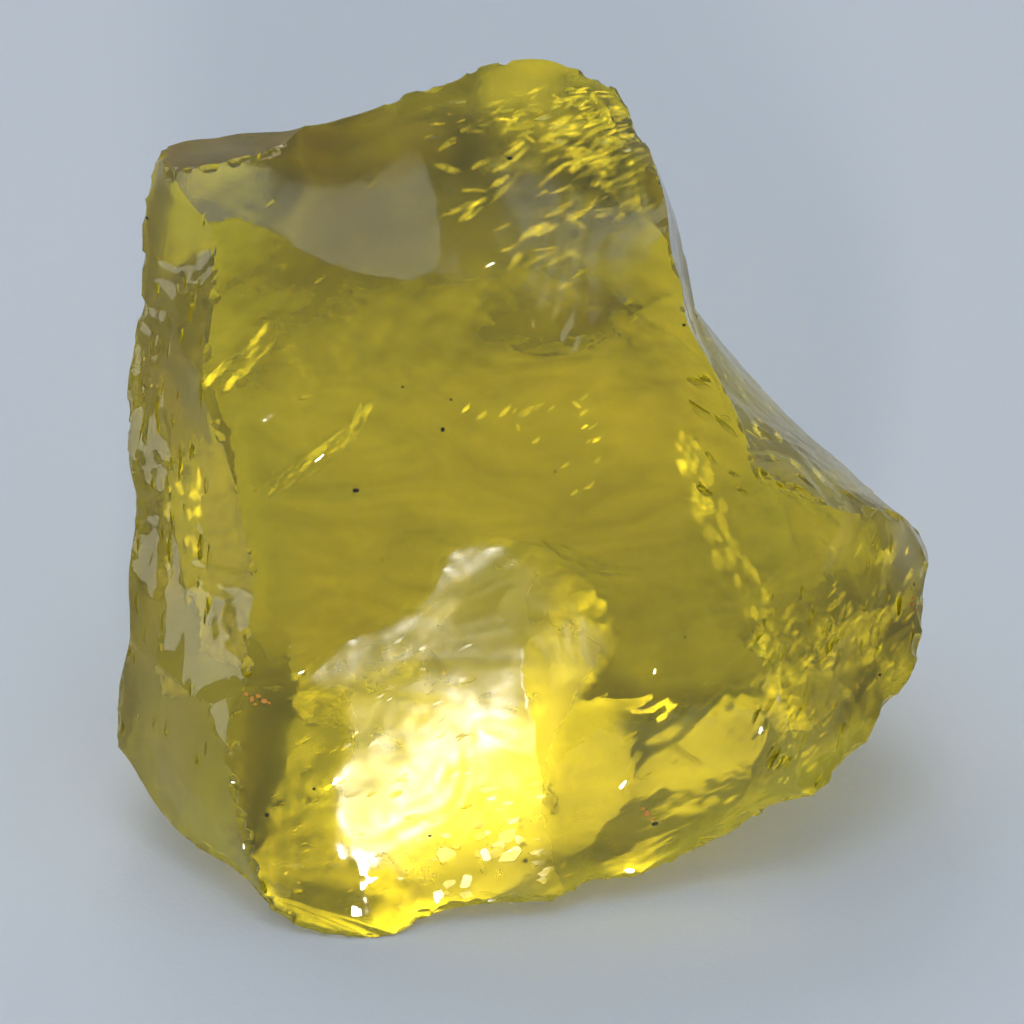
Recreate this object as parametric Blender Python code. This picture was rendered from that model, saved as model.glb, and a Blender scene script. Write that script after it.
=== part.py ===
"""Raw topaz: one rough, chipped crystal fragment, about 31 mm wide, 20 mm deep and 26 mm tall.

Metres, +Z up. The stone rests on its one flat facet, in the plane z = 0, and its front, the
large glassy face, looks towards -Y and leans back about 30 degrees.

The stone is made the way a fragment breaks: a rough block, from which every fracture takes away
what lies outside it. Each fracture is a sheet, a grid bent through the ridge points that it runs
along. Two neighbouring sheets run through the same ridge points, so they meet in that ridge.
"""
import math

import bmesh
import bpy
import numpy as np
from mathutils import Vector

# ---------------------------------------------------------------- driving dimensions
MM = 0.001
UNIT = 0.037            # mm across the stone that one unit of the ridge points stands for
TILT = math.radians(30)  # the ridge points are seen from this far above the horizontal
DISTANCE = 210.5        # mm from the eye to the middle of the stone
FOCUS = -1.25           # mm, depth of the front face's plane from the middle of the stone
MIDDLE = (-0.450, -1.286, 12.96)  # mm, the middle of the front view, from the stone's foot centre
FOOT = (0.070, 1.286, 0.0)  # mm, the foot's centre, from the place that the hidden points start at
CELL = 1.25             # mm, cell of a fracture sheet
REACH = 32.0            # mm, half width of a fracture sheet
ROUGH = (40.0, 34.0, 40.0)   # mm, the rough block that the fractures start from


def point(across, down, depth):
    """World point in mm of a ridge point: across and down in units, depth in mm behind the front."""
    ray = np.array([(across - 512) * UNIT / DISTANCE, (512 - down) * UNIT / DISTANCE])
    c, s = math.cos(TILT), math.sin(TILT)
    right, up, ahead = np.array([1, 0, 0.0]), np.array([0, s, c]), np.array([0, c, -s])
    eye = np.array(MIDDLE) - DISTANCE * ahead
    return eye + (DISTANCE + FOCUS + depth) * (ahead + right * ray[0] + up * ray[1])


# Ridges, as (across, down, depth). The left ridge is the long crest beside the front face.
LEFT_RIDGE = [(175, 175, 0.2), (190, 200, 0.0), (214, 249, -0.2), (213, 287, -0.3), (206, 348, -0.3),
              (200, 390, -0.3), (224, 434, -0.5), (239, 484, -0.6), (254, 556, -0.8), (254, 595, -0.8),
              (244, 630, -0.7), (246, 686, -0.7), (233, 709, -0.5), (228, 746, -0.5), (234, 767, -0.5),
              (238, 815, -0.3), (244, 850, -0.1), (262, 898, 0.2)]
LEFT_EDGE = [(159, 151, 2.2), (150, 181, 2.0), (144, 200, 2.0), (141, 249, 2.2), (139, 307, 2.6),
             (131, 348, 3.0), (126, 398, 3.3), (124, 440, 3.3), (137, 498, 3.0), (131, 556, 3.3),
             (129, 580, 3.4), (131, 640, 3.6), (120, 680, 4.2), (118, 718, 4.4), (131, 764, 4.5)]
LEFT_FOOT = [(131, 764, 4.5), (145, 789, 4.2), (161, 812, 3.8), (200, 848, 2.8), (228, 864, 1.9),
             (243, 876, 1.3), (262, 898, 0.5)]
FRONT_FOOT = [(262, 898, 0.5), (271, 911, 0.35), (303, 927, 0.15), (333, 934, 0.05), (366, 937, 0.0),
              (399, 932, 0.15), (440, 910, 0.5)]
RIGHT_FOOT = [(440, 910, 0.5), (473, 906, 0.6), (498, 903, 0.7), (546, 903, 0.9), (566, 897, 1.1),
              (589, 883, 1.5), (622, 882, 1.6), (647, 876, 1.7), (672, 862, 1.9), (700, 849, 2.0),
              (755, 820, 1.8), (773, 804, 1.7), (799, 800, 1.6), (814, 798, 1.6)]
TOP_RIDGE = [(175, 175, 0.2), (216, 166, 0.5), (241, 158, 0.7), (279, 153, 1.0), (299, 130, 2.0)]
TOP_EDGE_LEFT = [(159, 151, 2.2), (185, 141, 3.0), (216, 140, 3.2), (238, 134, 3.2), (299, 130, 2.4)]
TOP_EDGE = [(299, 130, 2.2), (321, 123, 2.2), (360, 110, 2.4), (402, 96, 2.9), (445, 82, 3.5),
            (474, 68, 4.1), (498, 63, 4.4), (523, 59, 4.6), (553, 60, 4.7), (574, 70, 4.6)]
CORNER_EDGE = [(574, 70, 4.6), (594, 76, 4.7), (615, 85, 4.7), (625, 97, 4.5), (631, 118, 4.2),
               (639, 134, 3.9), (651, 152, 3.4)]
NEAR_RIDGE = [(651, 158, 2.4), (665, 199, 1.2), (672, 255, 0.7), (682, 285, 0.5), (684, 316, 0.4),
              (693, 336, 0.4), (706, 356, 0.4), (716, 376, 0.4), (726, 393, 0.4), (734, 409, 0.4),
              (741, 430, 0.4), (750, 455, 0.4)]
RIGHT_EDGE = [(651, 152, 3.4), (660, 173, 3.4), (672, 206, 3.8), (680, 234, 4.2), (688, 265, 4.6),
              (694, 302, 5.0), (698, 316, 5.2)]
SHOULDER_EDGE = [(698, 316, 7.0), (713, 333, 8.6), (733, 350, 10.2), (746, 356, 11.0), (762, 370, 11.4),
                 (779, 389, 11.6), (801, 414, 11.7), (819, 436, 11.6), (849, 450, 11.3), (866, 466, 11.1),
                 (881, 488, 10.9), (901, 505, 10.5), (911, 518, 10.0)]
SHOULDER_RIDGE = [(752, 462, 0.5), (783, 484, 0.6), (803, 490, 0.8), (819, 503, 1.0), (841, 510, 1.4),
                  (854, 514, 1.9), (876, 514, 2.8), (899, 518, 4.4), (910, 524, 5.4)]
LOBE_EDGE = [(911, 518, 10.0), (914, 536, 8.6), (924, 544, 7.4), (928, 558, 6.2), (928, 571, 5.4),
             (924, 610, 4.3), (921, 635, 3.9), (916, 660, 3.5), (906, 683, 3.2), (896, 701, 3.0),
             (880, 712, 2.8), (866, 746, 2.6), (844, 767, 2.2), (826, 789, 1.8), (814, 798, 1.6)]
CREASE_1 = [(841, 541, 1.35), (833, 560, 1.3), (831, 574, 1.3), (839, 599, 1.4), (841, 635, 1.5), (832, 700, 1.5)]
CREASE_2 = [(887, 553, 2.75), (874, 574, 2.4), (880, 599, 2.6), (871, 632, 2.4), (857, 660, 2.1), (850, 715, 2.0)]
GLOW_RIDGE = [(300, 677, -0.9), (337, 651, -1.1), (393, 625, -1.3), (434, 592, -1.4), (452, 549, -1.5),
              (503, 543, -1.5), (560, 580, -1.4), (604, 627, -1.2), (610, 660, -1.0)]


def world(*ridges):
    return [point(*p) for ridge in ridges for p in ridge]


def mm(*points):
    """World points in mm of places behind and under the stone."""
    return [np.array(p, float) - FOOT for p in points]


# ---------------------------------------------------------------- a fracture sheet
def fitted(flat, height, smooth):
    """A thin plate's bending through the given heights: a function of the place on the sheet."""
    n = len(flat)
    r2 = ((flat[:, None] - flat[None]) ** 2).sum(-1)
    bend = 0.5 * r2 * np.log(r2 + 1e-12)
    frame = np.c_[np.ones(n), flat]
    a = np.zeros((n + 3, n + 3))
    a[:n, :n] = bend + smooth * np.eye(n)
    a[:n, n:] = frame
    a[n:, :n] = frame.T
    w = np.linalg.solve(a, np.r_[height, 0, 0, 0])

    def at(q):
        r2 = ((q[:, None] - flat[None]) ** 2).sum(-1)
        return (0.5 * r2 * np.log(r2 + 1e-12)) @ w[:n] + np.c_[np.ones(len(q)), q] @ w[n:]
    return at


def sheet(name, points, outward, lift=1.5, smooth=0.4, cell=CELL):
    """The cutter of one fracture: everything outside a sheet bent through the points."""
    pts = np.array(points)
    mid = pts.mean(0)
    normal = np.array(outward, float) / np.linalg.norm(outward)
    u = np.cross(normal, (0, 0, 1.0) if abs(normal[2]) < 0.9 else (0, 1.0, 0))
    u /= np.linalg.norm(u)
    v = np.cross(normal, u)
    flat = np.c_[(pts - mid) @ u, (pts - mid) @ v]
    high = (pts - mid) @ normal
    # Beyond the stone the sheet levels out, a little lifted, so it bites into no other face.
    ring = [(REACH * 1.2 * math.cos(t), REACH * 1.2 * math.sin(t)) for t in np.arange(12) * math.pi / 6]
    bend = fitted(np.r_[flat, np.array(ring)], np.r_[high, np.full(12, lift)], smooth)

    bm = bmesh.new()
    steps = int(2 * REACH / cell)
    bmesh.ops.create_grid(bm, x_segments=steps, y_segments=steps, size=REACH)
    top = bmesh.ops.extrude_face_region(bm, geom=bm.faces[:])["geom"]
    bm.verts.index_update()
    raised = {g.index for g in top if isinstance(g, bmesh.types.BMVert)}
    co = np.array([w.co[:2] for w in bm.verts])
    h = bend(co)
    for w in bm.verts:
        z = 36.0 if w.index in raised else float(h[w.index])
        w.co = Vector((mid + u * co[w.index, 0] + v * co[w.index, 1] + normal * z) * MM)
    if bm.calc_volume(signed=True) < 0:
        bmesh.ops.reverse_faces(bm, faces=bm.faces[:])
    mesh = bpy.data.meshes.new(name)
    bm.to_mesh(mesh)
    bm.free()
    ob = bpy.data.objects.new(name, mesh)
    cutters.objects.link(ob)
    ob.hide_render = True
    ob.display_type = "WIRE"
    return ob


def boolean(ob, other, operation="DIFFERENCE"):
    m = ob.modifiers.new(other.name, "BOOLEAN")
    m.operation = operation
    m.object = other
    m.solver = "EXACT"
    return m


# ---------------------------------------------------------------- the stone
for ob in list(bpy.data.objects):
    bpy.data.objects.remove(ob, do_unlink=True)
stone_parts = bpy.data.collections.new("Raw topaz")
cutters = bpy.data.collections.new("Fractures")
for c in (stone_parts, cutters):
    bpy.context.scene.collection.children.link(c)

bpy.ops.mesh.primitive_cube_add(size=1)
stone = bpy.context.object
stone.name = "raw_topaz"
for v in stone.data.vertices:
    v.co = Vector((v.co.x * ROUGH[0] * MM, v.co.y * ROUGH[1] * MM, (v.co.z + 0.5) * ROUGH[2] * MM))
for c in list(stone.users_collection):
    c.objects.unlink(stone)
stone_parts.objects.link(stone)

EYE = (0, -math.cos(TILT), math.sin(TILT))   # the way the front face looks

# Points after a sheet's own ridges lie clear of the stone, where the sheet must bite into nothing.
# The front face, gently swollen, runs from the left ridge to the near right ridge.
front = sheet("front_face", world(LEFT_RIDGE[2:12], NEAR_RIDGE[3:], GLOW_RIDGE[:6], [
    (330, 280, -0.6), (330, 450, -1.0), (430, 260, -0.6), (450, 420, -1.4), (560, 280, -0.3),
    (580, 420, -1.0), (640, 320, 0.0), (650, 480, -0.6), (740, 560, 0.0), (560, 560, -1.4),
    (175, 175, -0.6), (190, 200, -0.5), (300, 150, 0.3), (420, 150, 0.5), (540, 120, 2.0), (600, 150, 2.0),
    (665, 199, 0.5), (672, 255, 0.4), (250, 760, -1.4), (560, 760, -2.0), (760, 700, -0.6), (850, 560, 0.2)]), EYE)
sheets = [front]
# The upper front, right of the soft ridge, bows back to the top edge.
sheets.append(sheet("upper_front", world(TOP_EDGE[3:], NEAR_RIDGE[:4], [
    (392, 125, 2.1), (421, 150, 1.25), (437, 190, 0.6), (470, 260, -0.35), (560, 180, 1.5), (500, 200, 0.9),
    (600, 250, 0.5), (480, 110, 2.8), (560, 100, 3.5), (610, 130, 3.2), (540, 320, -0.5), (640, 200, 1.4),
    (175, 175, -1.2), (230, 230, -1.5), (300, 170, -0.6), (300, 300, -1.6), (200, 390, -2.0), (300, 500, -2.4),
    (450, 600, -2.8), (600, 500, -2.2), (720, 440, -0.8), (800, 560, -0.5), (246, 700, -2.6)]), EYE))
# The upper left of the front catches the sky.
sheets.append(sheet("upper_left_front", world(TOP_RIDGE, LEFT_RIDGE[:2], [
    (299, 130, 2.2), (340, 117, 2.35), (392, 100, 2.85), (392, 125, 2.0), (421, 150, 1.2), (433, 190, 0.5),
    (300, 220, 0.1), (350, 260, -0.45), (250, 200, 0.1), (445, 240, -0.25),
    (214, 249, -0.7), (213, 300, -1.0), (300, 450, -1.9), (450, 420, -2.3), (560, 260, -1.2), (520, 100, 1.6),
    (600, 150, 0.6), (650, 480, -2.4), (246, 700, -2.4), (600, 700, -3)]), EYE))
# The narrow left side, and the flat below it.
sheets.append(sheet("left_side", world(LEFT_RIDGE[:12], LEFT_EDGE[:12], [
    (175, 250, 1.1), (170, 330, 1.4), (185, 420, 1.2), (195, 500, 1.1), (200, 600, 1.1),
    (233, 709, -0.9), (228, 760, -1.3), (118, 718, 3.6), (125, 790, 3.0), (250, 850, -1.2)]), (-0.75, -0.55, 0.3)))
sheets.append(sheet("lower_left", world(LEFT_RIDGE[11:], LEFT_EDGE[11:], LEFT_FOOT[1:], [
    (185, 700, 1.3), (190, 780, 1.2),
    (254, 580, -1.6), (129, 560, 2.4), (239, 480, -2.2), (190, 600, -0.4)]), (-0.6, -0.75, 0.2)))
# The bright face low in the middle, and the face right of it.
sheets.append(sheet("glow_face", world(GLOW_RIDGE[:6], FRONT_FOOT[1:], RIGHT_FOOT[:6], LEFT_RIDGE[11:], [
    (420, 700, -1.2), (500, 640, -1.5), (500, 760, -0.9), (350, 760, -0.9), (350, 850, -0.5), (460, 840, -0.4),
    (254, 595, -1.6), (300, 500, -2.4), (620, 740, -1.2), (640, 840, 0.2), (700, 700, -1.6), (604, 580, -2.2),
    (760, 800, 0.2)]), (0, -0.95, 0.3)))
sheets.append(sheet("right_front", world(GLOW_RIDGE[6:], RIGHT_FOOT[4:], [
    (640, 560, -1.1), (700, 560, -0.5), (760, 560, 0.0), (680, 680, -0.3), (620, 760, -0.1), (740, 720, 0.4),
    (600, 840, 0.75), (570, 700, -1.0), (755, 500, 0.2),
    (560, 480, -2.2), (700, 420, -1.2), (440, 760, -1.8), (440, 880, -0.6), (850, 560, 0.0), (850, 700, 0.6)]), (0.1, -0.95, 0.3)))
# The lobe's front, in three facets that turn to the right, and its tip.
sheets.append(sheet("lobe_front", world(SHOULDER_RIDGE[1:5], CREASE_1, LOBE_EDGE[12:], [
    (800, 560, 0.4), (800, 640, 0.5), (800, 720, 0.7), (790, 790, 1.3),
    (750, 620, 0.1), (720, 500, -0.9), (700, 720, -0.8), (720, 830, 0.6), (600, 500, -2.6)]), (0.35, -0.85, 0.35)))
sheets.append(sheet("lobe_middle", world(SHOULDER_RIDGE[4:7], CREASE_1, CREASE_2, LOBE_EDGE[10:12], [
    (790, 560, -0.4), (780, 700, -0.4), (700, 600, -2.6), (940, 560, 4.4), (930, 640, 3.4)]), (0.5, -0.75, 0.35)))
sheets.append(sheet("lobe_end", world(SHOULDER_RIDGE[6:], CREASE_2, LOBE_EDGE[4:9], [
    (830, 560, 0.6), (820, 640, 0.6), (780, 600, -1.0), (840, 740, 1.0)]), (0.65, -0.65, 0.3), lift=2.5))
sheets.append(sheet("lobe_tip", world(LOBE_EDGE[:5], [(905, 508, 8.0), (909, 522, 5.8), (923, 554, 5.2)]), (0.9, -0.1, 0.4),
                    lift=3))
# Under the stone: the left foot, the front foot, the right foot and the lobe.
sheets.append(sheet("left_under", world(LEFT_FOOT) + mm((-9.0, -6.8, 0), (-11.5, -2.5, 0), (-12.5, 2, 0),
    (-6.5, -9.6, -0.6), (-3, -8.5, -1.2)), (-0.45, -0.35, -0.8)))
sheets.append(sheet("front_under", world(FRONT_FOOT, [(480, 915, 0.4), (540, 920, 0.6)]) + mm(
    (-8.2, -7.6, 0), (-6.0, -8.5, 0), (-3.8, -7.9, 0), (-12, -4, -0.8), (3, -4, -1.4)), (-0.1, -0.6, -0.8)))
sheets.append(sheet("right_under", world(RIGHT_FOOT[:10]) + mm((-3.2, -7.4, 0), (0.2, -2.8, 0), (2.6, 2.5, 0), (3.2, 8.5, 0),
    (-6.5, -9.4, -0.8), (8.5, 4, 1.5), (8, 8.5, 1.4)), (0.3, -0.5, -0.8)))
sheets.append(sheet("lobe_under", world(RIGHT_FOOT[9:], LOBE_EDGE[8:]) + mm((8.5, 2.5, 1.5), (10.0, 7.5, 2.0)), (0.5, -0.3, -0.8)))
# The top sliver, the golden corner, and behind.
sheets.append(sheet("top", world(TOP_RIDGE, TOP_EDGE_LEFT, [(345, 100, 2.3), (402, 80, 3.0), (523, 40, 4.6)]), (-0.1, -0.2, 0.95)))
sheets.append(sheet("corner", world(CORNER_EDGE, [
    (600, 110, 3.4), (625, 150, 2.6), (651, 165, 2.4), (530, 50, 2.5), (530, 100, 1.6), (600, 220, 0.3), (672, 230, 0.0),
    (715, 330, 0.0), (740, 420, -0.8)]) + mm((17, -2, 9), (13, 0, 2), (14, 8, 14), (12, 12, 8)), (0.7, -0.4, 0.5)))
sheets.append(sheet("corner_back", world(CORNER_EDGE[1:], RIGHT_EDGE[:2]) + mm((2.6, 12.6, 23.5), (4.0, 12.6, 20), (1.0, 12.6, 25.3),
    (7.5, 9, 16)), (0.7, 0.5, 0.5)))
sheets.append(sheet("back_left", world(LEFT_EDGE[:13]) + mm((-13.2, 7.5, 18), (-13.6, 9.0, 12), (-12.8, 9.0, 4), (-12.0, 8.0, 0),
    (-14.6, 3.5, 4), (-13.4, 3.0, 0)), (-1, 0.15, 0)))
# Behind, one long upright flat from the top edge to the foot, with a scar on its left.
sheets.append(sheet("back", world(TOP_EDGE_LEFT, TOP_EDGE, [(600, 66, 4.8)]) + mm((-11, 8.8, 18), (-4, 9.9, 18), (3, 11.0, 18),
    (-10, 9.6, 10), (-3, 10.6, 11), (4, 11.2, 10), (8, 10.4, 9), (-8, 9.5, 3), (-1, 10.45, 3), (5, 10.7, 2), (8, 10.1, 2),
    (-7, 9.5, 0), (0, 10.4, 0), (6, 10.5, 0)), (0, 1, 0)))
sheets.append(sheet("back_scar", mm((-13.4, 6.4, 11), (-13.2, 6.0, 4), (-10.2, 9.7, 8), (-7.0, 11.0, 12), (-6.0, 10.6, 3), (-9.0, 8.9, 0.5),
    (-10, 11.2, 17), (-13.4, 7.9, 16), (-3, 13.6, 8), (-6, 14.5, 22), (-15.4, 6, 24), (-14.6, 3, 14), (-14.4, 3, 2)), (-0.6, 0.8, 0)))
sheets.append(sheet("back_right", world(SHOULDER_EDGE[3:], LOBE_EDGE[:2]) + mm((9.8, 10.0, 6), (9.0, 9.8, 0), (12.8, 8.6, 6), (13, 8.0, 1),
    (5.5, 12.5, 16), (5.5, 11.2, 6), (4.5, 11.0, 0)), (0.45, 0.85, 0.1)))
sheets.append(sheet("lobe_back", world(LOBE_EDGE[:10]) + mm((14.6, 6.9, 6), (13.8, 7.0, 3), (13.0, 7.2, 0)), (0.9, 0.35, -0.2)))
for s in sheets:
    boolean(stone, s)

# The notch between the tall block and the shoulder: what lies right of the one and above the other.
shoulder = sheet("shoulder", world(SHOULDER_EDGE, SHOULDER_RIDGE, [(800, 450, 4.5), (740, 400, 4.5)]), (0.4, 0.1, 0.9))
notch = sheet("right_side", world(NEAR_RIDGE, RIGHT_EDGE, [(698, 330, 5.0), (730, 400, 2.5), (640, 120, 2.0), (660, 173, 5.4)])
              + mm((7.5, 9.5, 18)), (1, -0.1, 0.1))
boolean(notch, sheet("right_back", world(RIGHT_EDGE, [(700, 325, 5.6)]) + mm((4.6, 11.8, 20), (5.4, 11.8, 16), (3.6, 12.4, 24),
    (6.9, 8.5, 14)), (0.95, 0.4, 0.1), lift=4), "UNION")
boolean(notch, shoulder, "INTERSECT")
boolean(stone, notch)

topaz = bpy.data.materials.new("Yellow topaz")
topaz.use_nodes = True
shader = topaz.node_tree.nodes["Principled BSDF"]
shader.inputs["Base Color"].default_value = (0.80, 0.66, 0.10, 1)
shader.inputs["Roughness"].default_value = 0.05
shader.inputs["Metallic"].default_value = 0.0
stone.data.materials.append(topaz)
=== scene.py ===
"""The looks of the raw topaz: its fine fracture faces, chipped ridges, flaws, stains and clear body.

Metres, +Z up. The stone's fracture sheets are those of the CAD solid, at a fine cell, with the
ripples, hackles and chips that a glassy fracture has.
"""
import math

import bmesh
import bpy
import numpy as np
from mathutils import Matrix, Vector
from mathutils.bvhtree import BVHTree

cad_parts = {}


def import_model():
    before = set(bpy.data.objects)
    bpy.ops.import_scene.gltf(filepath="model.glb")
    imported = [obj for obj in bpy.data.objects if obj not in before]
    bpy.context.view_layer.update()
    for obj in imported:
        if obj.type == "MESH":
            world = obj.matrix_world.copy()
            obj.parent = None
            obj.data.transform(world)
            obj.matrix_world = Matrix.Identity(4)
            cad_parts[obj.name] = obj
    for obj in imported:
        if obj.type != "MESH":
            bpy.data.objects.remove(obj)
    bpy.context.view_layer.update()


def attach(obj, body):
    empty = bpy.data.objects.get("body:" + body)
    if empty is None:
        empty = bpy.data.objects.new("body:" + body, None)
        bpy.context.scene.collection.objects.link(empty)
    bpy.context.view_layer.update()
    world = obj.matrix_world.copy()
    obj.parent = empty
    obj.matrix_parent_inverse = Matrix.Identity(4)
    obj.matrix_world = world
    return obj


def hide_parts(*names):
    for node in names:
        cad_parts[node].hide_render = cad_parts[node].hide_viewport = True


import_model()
scene = bpy.context.scene
MM = 0.001

# ---------------------------------------------------------------- the front view's measure
UNIT = 0.037
TILT = math.radians(30)
DISTANCE = 210.5
FOCUS = -1.25
MIDDLE = (-0.450, -1.286, 12.96)
FOOT = (0.070, 1.286, 0.0)
CENTRE = np.array((0, 0, 12.0))
REACH = 25.0

AHEAD = np.array([0, math.cos(TILT), -math.sin(TILT)])
UP = np.array([0, math.sin(TILT), math.cos(TILT)])
EYE = -AHEAD


def point(across, down, depth):
    """World point in mm: across and down in units as seen from the front, depth in mm behind the front face."""
    a, b = (across - 512) * UNIT / DISTANCE, (512 - down) * UNIT / DISTANCE
    eye = np.array(MIDDLE) - DISTANCE * AHEAD
    return eye + (DISTANCE + FOCUS + depth) * (AHEAD + np.array([a, 0, 0]) + UP * b)


def world(*ridges):
    return [point(*p) for ridge in ridges for p in ridge]


def mm(*points):
    return [np.array(p, float) - FOOT for p in points]


# ---------------------------------------------------------------- noise
def hashed(i, j, seed):
    n = (i.astype(np.int64) * 374761393 + j.astype(np.int64) * 668265263 + seed * 974634777) & 0xFFFFFFFF
    n = ((n ^ (n >> 13)) * 1274126177) & 0xFFFFFFFF
    n = ((n ^ (n >> 15)) * 2246822519) & 0xFFFFFFFF
    return ((n ^ (n >> 16)) & 0xFFFFFF) / float(0xFFFFFF)


def grain(u, v, seed):
    """Smooth noise from -1 to 1, one lump a unit."""
    i, j = np.floor(u), np.floor(v)
    a, b = u - i, v - j
    a, b = a * a * a * (a * (a * 6 - 15) + 10), b * b * b * (b * (b * 6 - 15) + 10)
    c = [hashed(i + p, j + q, seed) for q in (0, 1) for p in (0, 1)]
    return 2 * ((c[0] * (1 - a) + c[1] * a) * (1 - b) + (c[2] * (1 - a) + c[3] * a) * b) - 1


def fractal(u, v, seed, octaves=4, rough=0.5):
    total, weight, size = 0, 1.0, 1.0
    for k in range(octaves):
        total = total + weight * grain(u * size + 17.3 * k, v * size - 9.1 * k, seed + 31 * k)
        weight, size = weight * rough, size * 2.03
    return total


# ---------------------------------------------------------------- ridges, (across, down, depth)
LEFT_RIDGE = [(175, 175, 0.2), (190, 200, 0.0), (214, 249, -0.2), (213, 287, -0.3), (206, 348, -0.3),
              (200, 390, -0.3), (224, 434, -0.5), (239, 484, -0.6), (254, 556, -0.8), (254, 595, -0.8),
              (244, 630, -0.7), (246, 686, -0.7), (233, 709, -0.5), (228, 746, -0.5), (234, 767, -0.5),
              (238, 815, -0.3), (244, 850, -0.1), (262, 898, 0.2)]
LEFT_EDGE = [(159, 151, 2.2), (150, 181, 2.0), (144, 200, 2.0), (141, 249, 2.2), (139, 307, 2.6),
             (131, 348, 3.0), (126, 398, 3.3), (124, 440, 3.3), (137, 498, 3.0), (131, 556, 3.3),
             (129, 580, 3.4), (131, 640, 3.6), (120, 680, 4.2), (118, 718, 4.4), (131, 764, 4.5)]
LEFT_FOOT = [(131, 764, 4.5), (145, 789, 4.2), (161, 812, 3.8), (200, 848, 2.8), (228, 864, 1.9),
             (243, 876, 1.3), (262, 898, 0.5)]
FRONT_FOOT = [(262, 898, 0.5), (271, 911, 0.35), (303, 927, 0.15), (333, 934, 0.05), (366, 937, 0.0),
              (399, 932, 0.15), (440, 910, 0.5)]
RIGHT_FOOT = [(440, 910, 0.5), (473, 906, 0.6), (498, 903, 0.7), (546, 903, 0.9), (566, 897, 1.1),
              (589, 883, 1.5), (622, 882, 1.6), (647, 876, 1.7), (672, 862, 1.9), (700, 849, 2.0),
              (755, 820, 1.8), (773, 804, 1.7), (799, 800, 1.6), (814, 798, 1.6)]
TOP_RIDGE = [(175, 175, 0.2), (216, 166, 0.5), (241, 158, 0.7), (279, 153, 1.0), (299, 130, 2.0)]
TOP_EDGE_LEFT = [(159, 151, 2.2), (185, 141, 3.0), (216, 140, 3.2), (238, 134, 3.2), (299, 130, 2.4)]
TOP_EDGE = [(299, 130, 2.2), (321, 123, 2.2), (360, 110, 2.4), (402, 96, 2.9), (445, 82, 3.5),
            (474, 68, 4.1), (498, 63, 4.4), (523, 59, 4.6), (553, 60, 4.7), (574, 70, 4.6)]
CORNER_EDGE = [(574, 70, 4.6), (594, 76, 4.7), (615, 85, 4.7), (625, 97, 4.5), (631, 118, 4.2),
               (639, 134, 3.9), (651, 152, 3.4)]
NEAR_RIDGE = [(651, 158, 2.4), (665, 199, 1.2), (672, 255, 0.7), (682, 285, 0.5), (684, 316, 0.4),
              (693, 336, 0.4), (706, 356, 0.4), (716, 376, 0.4), (726, 393, 0.4), (734, 409, 0.4),
              (741, 430, 0.4), (750, 455, 0.4)]
RIGHT_EDGE = [(651, 152, 3.4), (660, 173, 3.4), (672, 206, 3.8), (680, 234, 4.2), (688, 265, 4.6),
              (694, 302, 5.0), (698, 316, 5.2)]
SHOULDER_EDGE = [(698, 316, 7.0), (713, 333, 8.6), (733, 350, 10.2), (746, 356, 11.0), (762, 370, 11.4),
                 (779, 389, 11.6), (801, 414, 11.7), (819, 436, 11.6), (849, 450, 11.3), (866, 466, 11.1),
                 (881, 488, 10.9), (901, 505, 10.5), (911, 518, 10.0)]
SHOULDER_RIDGE = [(752, 462, 0.5), (783, 484, 0.6), (803, 490, 0.8), (819, 503, 1.0), (841, 510, 1.4),
                  (854, 514, 1.9), (876, 514, 2.8), (899, 518, 4.4), (910, 524, 5.4)]
LOBE_EDGE = [(911, 518, 10.0), (914, 536, 8.6), (924, 544, 7.4), (928, 558, 6.2), (928, 571, 5.4),
             (924, 610, 4.3), (921, 635, 3.9), (916, 660, 3.5), (906, 683, 3.2), (896, 701, 3.0),
             (880, 712, 2.8), (866, 746, 2.6), (844, 767, 2.2), (826, 789, 1.8), (814, 798, 1.6)]
CREASE_1 = [(841, 541, 1.35), (833, 560, 1.3), (831, 574, 1.3), (839, 599, 1.4), (841, 635, 1.5), (832, 700, 1.5)]
CREASE_2 = [(887, 553, 2.75), (874, 574, 2.4), (880, 599, 2.6), (871, 632, 2.4), (857, 660, 2.1), (850, 715, 2.0)]
GLOW_RIDGE = [(300, 677, -0.9), (337, 651, -1.1), (393, 625, -1.3), (434, 592, -1.4), (452, 549, -1.5),
              (503, 543, -1.5), (560, 580, -1.4), (604, 627, -1.2), (610, 660, -1.0)]


# ---------------------------------------------------------------- a fracture sheet
def fitted(flat, height, smooth):
    n = len(flat)
    r2 = ((flat[:, None] - flat[None]) ** 2).sum(-1)
    frame_ = np.c_[np.ones(n), flat]
    a = np.zeros((n + 3, n + 3))
    a[:n, :n] = 0.5 * r2 * np.log(r2 + 1e-12) + smooth * np.eye(n)
    a[:n, n:] = frame_
    a[n:, :n] = frame_.T
    w = np.linalg.solve(a, np.r_[height, 0, 0, 0])

    def at(q):
        out = np.c_[np.ones(len(q)), q] @ w[n:]
        for k in range(n):
            r2 = ((q - flat[k]) ** 2).sum(-1)
            out += w[k] * 0.5 * r2 * np.log(r2 + 1e-12)
        return out
    return at


cutters = bpy.data.collections.new("Fractures")
scene.collection.children.link(cutters)


def mesh_object(name, mesh, collection=None):
    ob = bpy.data.objects.new(name, mesh)
    (collection or scene.collection).objects.link(ob)
    return ob


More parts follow.
